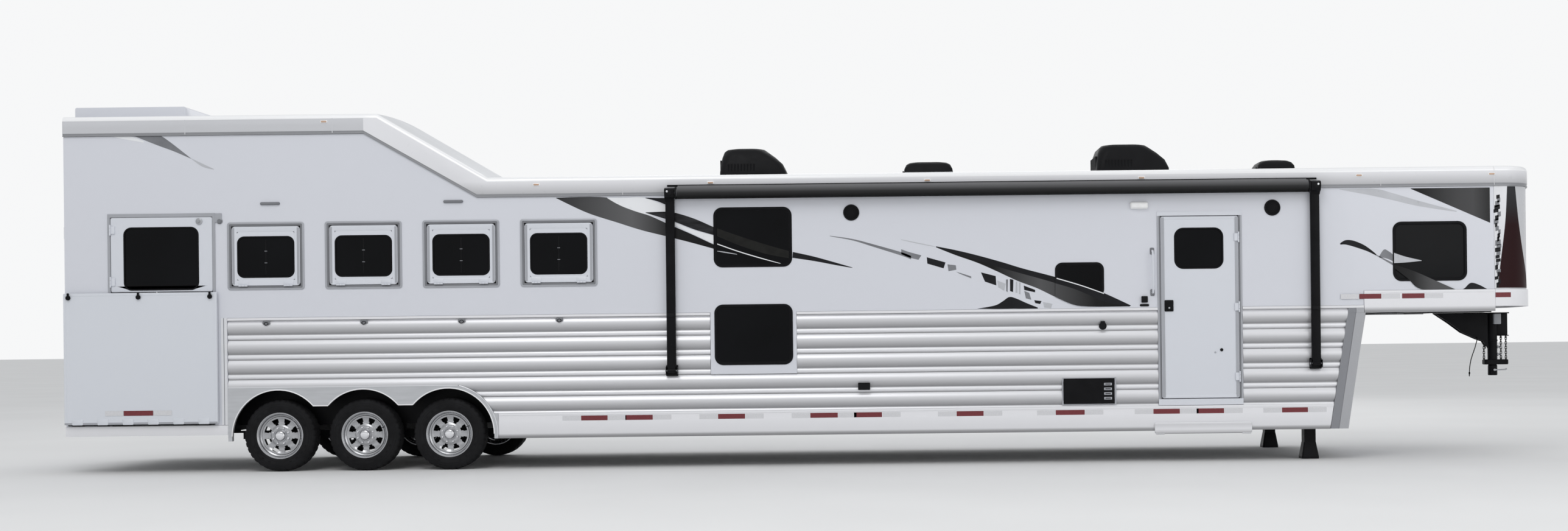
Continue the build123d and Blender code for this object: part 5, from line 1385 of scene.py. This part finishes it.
# Lamps --------------------------------------------------------------------------------------------------
def lamps():
    piece = Piece("lamps")
    for side in (RIGHT, LEFT):
        for s, z in ((2666, 3560), (4822, 2894), (6596, 2892), (8803, 2892), (10985, 2892), (13199, 2892),
                     (14550, 2892)):
            piece.panel(side, (s, z), (72, 28), 10, [(0, 1226), (0, 1231), (3, 1233)], WHITE_LENS,
                        caps=LAST, n=4)
            piece.panel(side, (s, z), (56, 18), 7, [(0, 1233), (1, 1238), (4, 1241)], AMBER, caps=LAST, n=4)
        for z, material in ((700, RED_LENS), (800, AMBER), (3500, RED_LENS)):
            centre = P(0, 1135, z, side)
            piece.lathe(centre, (-1, 0, 0), [(0, 40), (9, 40), (10, 36)], BLACK_PLASTIC, 32, caps=OPEN)
            piece.lathe(centre, (-1, 0, 0), [(9, 36), (14, 33), (17, 20), (18, 4)], material, 32)
    for s in (2104, 3971):
        piece.panel(RIGHT, (s, 2733), (200, 30), 14, [(0, 1210), (0, 1220), (4, 1228), (8, 1231)],
                    FRAME_DARK, caps=LAST)
    piece.panel(RIGHT, (10958, 2613), (185, 75), 20, [(0, 1210), (0, 1225), (8, 1245), (20, 1253)],
                WHITE_LENS, caps=LAST)
    piece.done("trailer", ["lamps"])


lamps()


# Wall fittings ------------------------------------------------------------------------------------------
def fittings():
    piece = Piece("wall fittings")
    for s, z in ((8025, 2574), (12316, 2575)):
        centre = P(s, 1210, z)
        piece.lathe(centre, OUTWARD, [(0, 82), (8, 82), (14, 76), (14, 68), (8, 64)], BLACK_PLASTIC, 48,
                    caps=OPEN)
        piece.lathe(centre, OUTWARD, [(8, 64), (11, 45), (13, 20), (13.5, 2)], BLACK, 40, caps=LAST)
        for r in (24, 40, 55):
            piece.lathe(centre, OUTWARD, [(10, r - 2), (14.5, r - 1), (14.5, r + 1), (10, r + 2)],
                        BLACK_PLASTIC, 40, caps=OPEN)
    for s in FEEDS:
        piece.panel(RIGHT, (s, 1520), (76, 38), 12, [(0, 1221), (0, 1226), (3, 1227)], FRAME_DARK,
                    caps=LAST, n=4)
        ring = [P(s + 20 * cos(2 * pi * k / 16), 1229 - 3 * sin(2 * pi * k / 16),
                  1508 + 16 * sin(2 * pi * k / 16)) for k in range(17)]
        piece.tube(ring, 3.5, BLACK, 8)
    # covered socket with an oval plate under it
    piece.panel(RIGHT, (11003, 1655), (62, 66), 8, [(0, 1210), (0, 1236), (5, 1241)], BLACK_PLASTIC,
                caps=LAST)
    piece.panel(RIGHT, (11003, 1596), (96, 24), 12, [(0, 1210), (0, 1214), (3, 1217)], BLACK_PLASTIC,
                caps=LAST)
    # round inlet with a hinged flap
    piece.lathe(P(10574, 1216, 1389), OUTWARD, [(0, 39), (12, 39), (16, 34), (17, 4)], BLACK_PLASTIC, 36)
    piece.box((10552, 10596), (-1234, -1222), (1412, 1438), BLACK_PLASTIC, 5)
    # outlet cover low on the side
    piece.panel(RIGHT, (8136, 802), (122, 73), 6, [(0, 1216), (0, 1240), (4, 1245)], BLACK_PLASTIC,
                caps=LAST, n=3)
    piece.box((8085, 8187), (-1248, -1243), (832, 838), BLACK, 1)
    # grab handle beside the door
    piece.tube([P(11086, 1210, 1722), P(11086, 1250, 1724), P(11086, 1264, 1745), P(11086, 1266, 1935),
                P(11086, 1264, 2125),
                P(11086, 1250, 2146), P(11086, 1210, 2148)], 11, DOOR_SKIN, 14)
    for z in (1724, 2146):
        piece.panel(RIGHT, (11086, z), (44, 70), 12, [(0, 1210), (0, 1214), (3, 1217)], FRAME_DARK,
                    caps=LAST, n=4)
    # awning rail and brackets
    piece.box((6154, 12766), (-1236, -1226), (2856, 2875), BLACK, 3)
    for s in ARMS:
        piece.panel(RIGHT, (s, 985), (124, 110), 8, [(0, 1221), (0, 1227), (2, 1229)], BLACK, caps=LAST, n=3)
        for edge in (-1, 1):
            a, b = sorted((s + edge * 53, s + edge * 59))
            piece.box((a, b), (-1290, -1228), (946, 1024), BLACK, 2)
            piece.lathe(P(s + edge * 59, 1264, 985), (edge, 0, 0), [(0, 12), (5, 12), (6, 8)], GALVANISED, 6)
        piece.tube([P(s - 60, 1264, 985), P(s + 60, 1264, 985)], 8, GALVANISED)
    # heater surround and liner
    piece.plate(RIGHT, rect(10152, 10704, 590, 866), [rect(10166, 10690, 596, 860)], 1219, 1222, FRAME_GREY_AND_SHADE)
    piece.plate(RIGHT, rect(10171, 10685, 600, 855), [], 1050, 1056, SCREEN)
    # rail strip beside the ramp
    piece.plate(RIGHT, rect(1590, 1652, 484, 1572), [], 1210, 1216, RAIL)
    piece.plate(RIGHT, rect(1616, 1622, 484, 1572), [], 1216, 1217, FRAME_DARK)
    # door hold-back catch on the wall, near the ramp's upper door
    piece.lathe(P(1588, 1210, 2560), OUTWARD, [(0, 30), (6, 30), (10, 22), (20, 20), (20, 0)], FRAME_DARK, 24)
    piece.box((1540, 1610), (-1222, -1210), (2545, 2640), FRAME_GREY_AND_SHADE, 6)
    piece.done("trailer", ["wall_fittings"])
    door = Piece("heater door")
    c, size = ((10171 + 10685) / 2, 727.5), (514, 255)
    door.panel(RIGHT, c, size, 8, [(3, 1204), (0, 1207), (0, 1219), (3, 1222)], BLACK, n=3)
    for k in range(4):
        z = 640 + 48 * k
        door.box((10580, 10660), (-1226, -1221), (z, z + 26), FRAME_GREY_AND_SHADE, 3)
        door.box((10592, 10648), (-1227, -1222), (z + 8, z + 18), BLACK, 2)
    door.tube([P(10171, 1228, 630), P(10171, 1228, 825)], 5.5, BLACK)
    door.done("heater_door", ["heater_door"])


fittings()


# Coupler, chains, lanyard -------------------------------------------------------------------------------
CHAINS = ((14868, 0, 7), (15100, -20, 9), (15060, 20, 9))  # station, y and links of each safety chain
POST = 14960  # station of the gooseneck post


def coupler():
    piece = Piece("gooseneck")
    outline = [(14327, 1494), (14380, 1450), (14491, 1386), (14623, 1285), (14782, 1211), (14848, 1184),
               (14868, 1150), (14899, 1100), (14899, 1494)]
    for side in (RIGHT, LEFT):
        piece.plate(side, outline, [], 30, 42, BLACK)
        piece.plate(side, [(14345, 1494), (14500, 1392), (14630, 1292), (14790, 1217), (14850, 1190),
                           (14850, 1182), (14780, 1207), (14621, 1279), (14488, 1380), (14325, 1490)], [],
                           42, 52, BLACK)
    centre = spot(POST, 0, 0)
    piece.lathe(centre, (0, 0, 1), [(985, 46), (985, 51), (1494, 51), (1494, 46)], BLACK, 40, caps=OPEN)
    piece.lathe(centre, (0, 0, 1), [(1180, 51), (1182, 55), (1200, 55), (1202, 51)], BLACK, 40, caps=OPEN)
    loops = []
    for z, inset in ((930, 6), (936, 0), (979, 0), (985, 6)):
        loops.append(level((14990, 0), (258 - 2 * inset, 120 - 2 * inset), 26, z, 5))
    piece.loft(loops, BLACK)
    piece.box((14905, 15110), (-110, 110), (1482, 1494), BLACK, 3)
    # set-screw handles and a coupling bracket at the upper front
    for z in (1040, 1120):
        piece.lathe(spot(15011, 0, z), (1, 0, 0), [(0, 16), (12, 16), (14, 12), (34, 10), (34, 0)],
                    GALVANISED, 6)
        piece.tube([spot(15040, y, z) for y in (-50, 50)], 6, GALVANISED)
    # front plate with the chain bracket, and the box beside the post
    piece.box((15013, 15125), (-50, 50), (1240, 1250), BLACK, 3)
    piece.box((15008, 15125), (-6, 6), (1250, 1483), BLACK, 2)
    piece.box((14950, 15026), (-96, -52), (1368, 1483), BOX_GREY, 5)
    # a lug with its pin under each chain, and over each front chain
    lugs = [(s, y, (985, 1006), 1000) for s, y, _ in CHAINS] + [(s, y, (1214, 1240), 1222.8) for s, y,
                                                                _ in CHAINS[1:]]
    for s, y, span, pin in lugs:
        for cheek in (-6, 6):
            piece.box((s - 8, s + 8), (y + cheek - 2, y + cheek + 2), span, CHAIN_STEEL, 1)
        piece.tube([spot(s, y + end, pin) for end in (-8, 8)], 3.5, CHAIN_STEEL, 10)
    piece.tube([spot(14868, y, 1171.6) for y in (-35, 35)], 3.5, CHAIN_STEEL, 10)
    piece.done("trailer", ["coupler_neck"])
    ram = Piece("coupler ram")
    ram.lathe(centre, (0, 0, 1), [(1430, 20), (1430, 44), (925, 44), (925, 44), (918, 49), (860, 49),
                                  (822, 49.5), (813, 46), (813, 31),
                                  (818, 29.7), (872, 29.7), (873, 3)], BLACK, 40)
    for z in (1010, 1060, 1110, 1160):
        ram.lathe(spot(POST, -43.5, z), OUTWARD, [(0, 9), (0.6, 9), (0.7, 0)], SCREEN, 16)
    ram.done("coupler_ram", ["coupler_ram"])
    latch = Piece("coupler latch")
    latch.lathe(spot(POST, -52, 873), OUTWARD, [(0, 12), (20, 12), (22, 8), (22, 0)], GALVANISED, 20)
    handle = ((POST, 873), (15020, 873), (15078, 876), (15090, 882))
    latch.tube([spot(s, -66, z) for s, z in handle], [8, 7, 7, 9], GALVANISED)
    latch.done("coupler_latch", ["coupler_latch"])


coupler()


def link_master():
    piece = Piece("link")
    path = []
    for k in range(25):
        a = 2 * pi * k / 24
        shift = 8.5 if sin(a) > 0.01 else (-8.5 if sin(a) < -0.01 else 0)
        path.append((9 / 1000 * cos(a), 0, (9 * sin(a) + shift) / 1000))
    piece.tube(path, 3.6, CHAIN_STEEL, 8)
    return piece


def chains():
    points, turns = [], []
    for s, y, count in CHAINS:
        for i in range(count):
            points.append(spot(s, y, 1009 + 25.6 * i))
            turns.append((0, 0, pi / 2 * (i % 2)))
    repeat("safety chains", link_master(), points, CHAIN_STEEL, "trailer", (1, 1, 1), turns,
           ["safety_chains"])


chains()

# The lanyard's line: (station, height) points.
CABLE = [(14775, 1204), (14762, 1148), (14743, 1090), (14721, 1032), (14703, 972), (14692, 910), (14689, 850)]


def lanyard():
    points = [Vector(spot(s, -60, z)) for s, z in CABLE]
    curve = bpy.data.curves.new("breakaway_cable_line", "CURVE")
    curve.dimensions = "3D"
    curve.bevel_depth = 0.0048
    curve.bevel_resolution = 3
    curve.resolution_u = 12
    spline = curve.splines.new("NURBS")
    spline.points.add(len(points) - 1)
    for node, p in zip(spline.points, points):
        node.co = (*p, 1)
    spline.order_u = 3
    spline.use_endpoint_u = True
    curve.materials.append(RUBBER)
    cable = placed("breakaway_cable_line", curve)
    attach(cable, "trailer")
    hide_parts("breakaway_cable")
    pin = Piece("breakaway pin")
    start, end = points[0], points[-1]
    out = (start - points[1]).normalized()
    pin.lathe(start, out, [(-2, 6), (-2, 9), (6, 11), (22, 11), (24, 7)], BLACK_PLASTIC, 20)
    down = (end - points[-2]).normalized()
    pin.lathe(end, down, [(-1, 6), (-1, 8.5), (20, 9), (22, 6), (44, 5), (46, 2)], BLACK_PLASTIC, 20)
    made = pin.done("trailer", ["breakaway_pin"])


lanyard()


# Step ---------------------------------------------------------------------------------------------------
def entry_step():
    piece = Piece("entry step")
    piece.panel(RIGHT, (11585, 342.5), (990, 115), 22, [(3, 1228), (0, 1230), (0, 1241), (6, 1245.5)],
                STEP_PAINTED_SHADE, n=5)
    piece.panel(RIGHT, (11585, 342.5), (900, 60), 12, [(0, 1245), (4, 1242), (10, 1242)], TRIM, caps=LAST,
                n=4)
    for s in (11145, 12025):
        hinge(piece, (s, 285), 1237, 90, RAIL, vertical=False)
    piece.done("entry_step", ["entry_step"])


entry_step()


# Rear doors ---------------------------------------------------------------------------------------------
def rear_doors():
    for side, name in ((RIGHT, "rear_door_right"), (LEFT, "rear_door_left")):
        piece = Piece(name.replace("_", " "))

        def face(centre, size, radius, section, material, caps=(True, True), n=6):
            loops = []
            for inset, s in section:
                outline = rounded(centre, (size[0] - 2 * inset, size[1] - 2 * inset), radius - inset, n)
                loops.append([P(s, y, z, side) for y, z in outline])
            piece.loft(loops, material, caps=caps)

        face((543, 1612.5), (1078, 2175), 14, [(3, -4), (0, -8), (0, -40), (4, -44)], DOOR_SKIN)
        face((543, 1612.5), (1078, 2175), 14, [(3, -43.5), (3, -46), (34, -46), (36, -43.5)], FRAME_GREY_AND_SHADE,
             caps=OPEN)
        face((550, 2100), (560, 520), 80, [(0, -43.5), (0, -49), (4, -52), (22, -52), (26, -46)], BLACK,
             caps=OPEN)
        face((550, 2100), (560, 520), 80, [(24, -40), (24, -46)], GLASS)
        for z in (700, 1000, 1300, 1620):
            face((543, z), (960, 14), 4, [(0, -43.8), (1, -46)], RAIL, caps=LAST)
        for z in (760, 1612, 2465):
            for k in range(3):
                a = z - 60 + 40 * k
                piece.tube([P(-50, 1090, a + end, side) for end in (1, 39)], 8, TRIM)
            piece.box((-56, -44), (side * 1000, side * 1088), (z - 38, z + 38), TRIM)
        # lock rod
        piece.tube([P(-56, 55, z, side) for z in (600, 2620)], 9, GALVANISED)
        for z in (640, 1200, 1900, 2580):
            piece.box((-61, -43), (side * 35, side * 75), (z - 15, z + 15), GALVANISED, 3)
        piece.box((-62, -50), (side * 55, side * 240), (1270, 1290), GALVANISED, 3)
        piece.done(name, [name])


rear_doors()


# Rear gutter, lamps and bumper --------------------------------------------------------------------------
def rear_details():
    piece = Piece("rear trim")
    piece.box((-4, 0), (-1080, 1080), (3380, 3430), TRIM, 1)
    for k in (-1, 0, 1):
        y = 180 * k
        piece.box((-12, 0), (y - 32, y + 32), (3340, 3362), RED_LENS, 3)
    piece.box((-16, 0), (-1078, 1078), (452, 492), RUBBER, 6)
    piece.done("trailer")


rear_details()

# Stage --------------------------------------------------------------------------------------------------
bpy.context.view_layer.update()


def stage():
    mesh = bpy.data.meshes.new("floor")
    mesh.from_pydata([(-200, -200, 0), (200, -200, 0), (200, 200, 0), (-200, 200, 0)], [], [(0, 1, 2, 3)])
    floor = placed("floor", mesh)
    mesh.materials.append(CONCRETE)
    world = bpy.data.worlds.new("studio")
    bpy.context.scene.world = world
    world.use_nodes = True
    nodes, links = world.node_tree.nodes, world.node_tree.links
    background = nodes["Background"]
    place, split = nodes.new("ShaderNodeTexCoord"), nodes.new("ShaderNodeSeparateXYZ")
    links.new(place.outputs["Generated"], split.inputs["Vector"])
    greys = ((0.0, 0.5), (0.48, 0.9), (0.56, 0.8), (0.72, 0.5), (1.0, 0.85))
    ramp = shade_ramp(nodes, [(height, (grey * 0.97, grey * 0.985, grey)) for height, grey in greys])
    spread = nodes.new("ShaderNodeMapRange")
    spread.inputs["From Min"].default_value = -1
    links.new(split.outputs["Z"], spread.inputs["Value"])
    links.new(spread.outputs["Result"], ramp.inputs["Fac"])
    seen = nodes.new("ShaderNodeLightPath")
    mix = nodes.new("ShaderNodeMix")
    mix.data_type = "RGBA"
    links.new(seen.outputs["Is Camera Ray"], mix.inputs["Factor"])
    links.new(ramp.outputs["Color"], mix.inputs["A"])
    mix.inputs["B"].default_value = (0.93, 0.935, 0.94, 1)
    links.new(mix.outputs["Result"], background.inputs["Color"])
    background.inputs["Strength"].default_value = 1.0
    for name, place, power, size, aim in (
        ("key", (-4, -15, 16), 900, 9, (0, 0, 1.5)),
        ("fill", (12, -12, 6), 250, 8, (4, 0, 1.5)),
        ("rim", (2, 14, 11), 500, 12, (0, 0, 2)),
    ):
        data = bpy.data.lights.new(name, "AREA")
        data.energy = power
        data.size = size
        lamp = placed(name, data)
        lamp.location = place
        lamp.rotation_euler = (Vector(aim) - Vector(place)).to_track_quat("-Z", "Y").to_euler()
    data = bpy.data.cameras.new("camera")
    data.lens = 40.57
    data.sensor_width = 36
    data.shift_x = -0.063
    data.shift_y = 0.047
    data.clip_end = 500
    camera = placed("camera", data)
    camera.location = (at(8332), -1.22 - 18.0, 1.28)
    camera.rotation_euler = (radians(90), radians(0.66), 0)
    scene = bpy.context.scene
    scene.camera = camera
    scene.render.resolution_x = 2576
    scene.render.resolution_y = 872
    scene.view_settings.view_transform = "Standard"


stage()
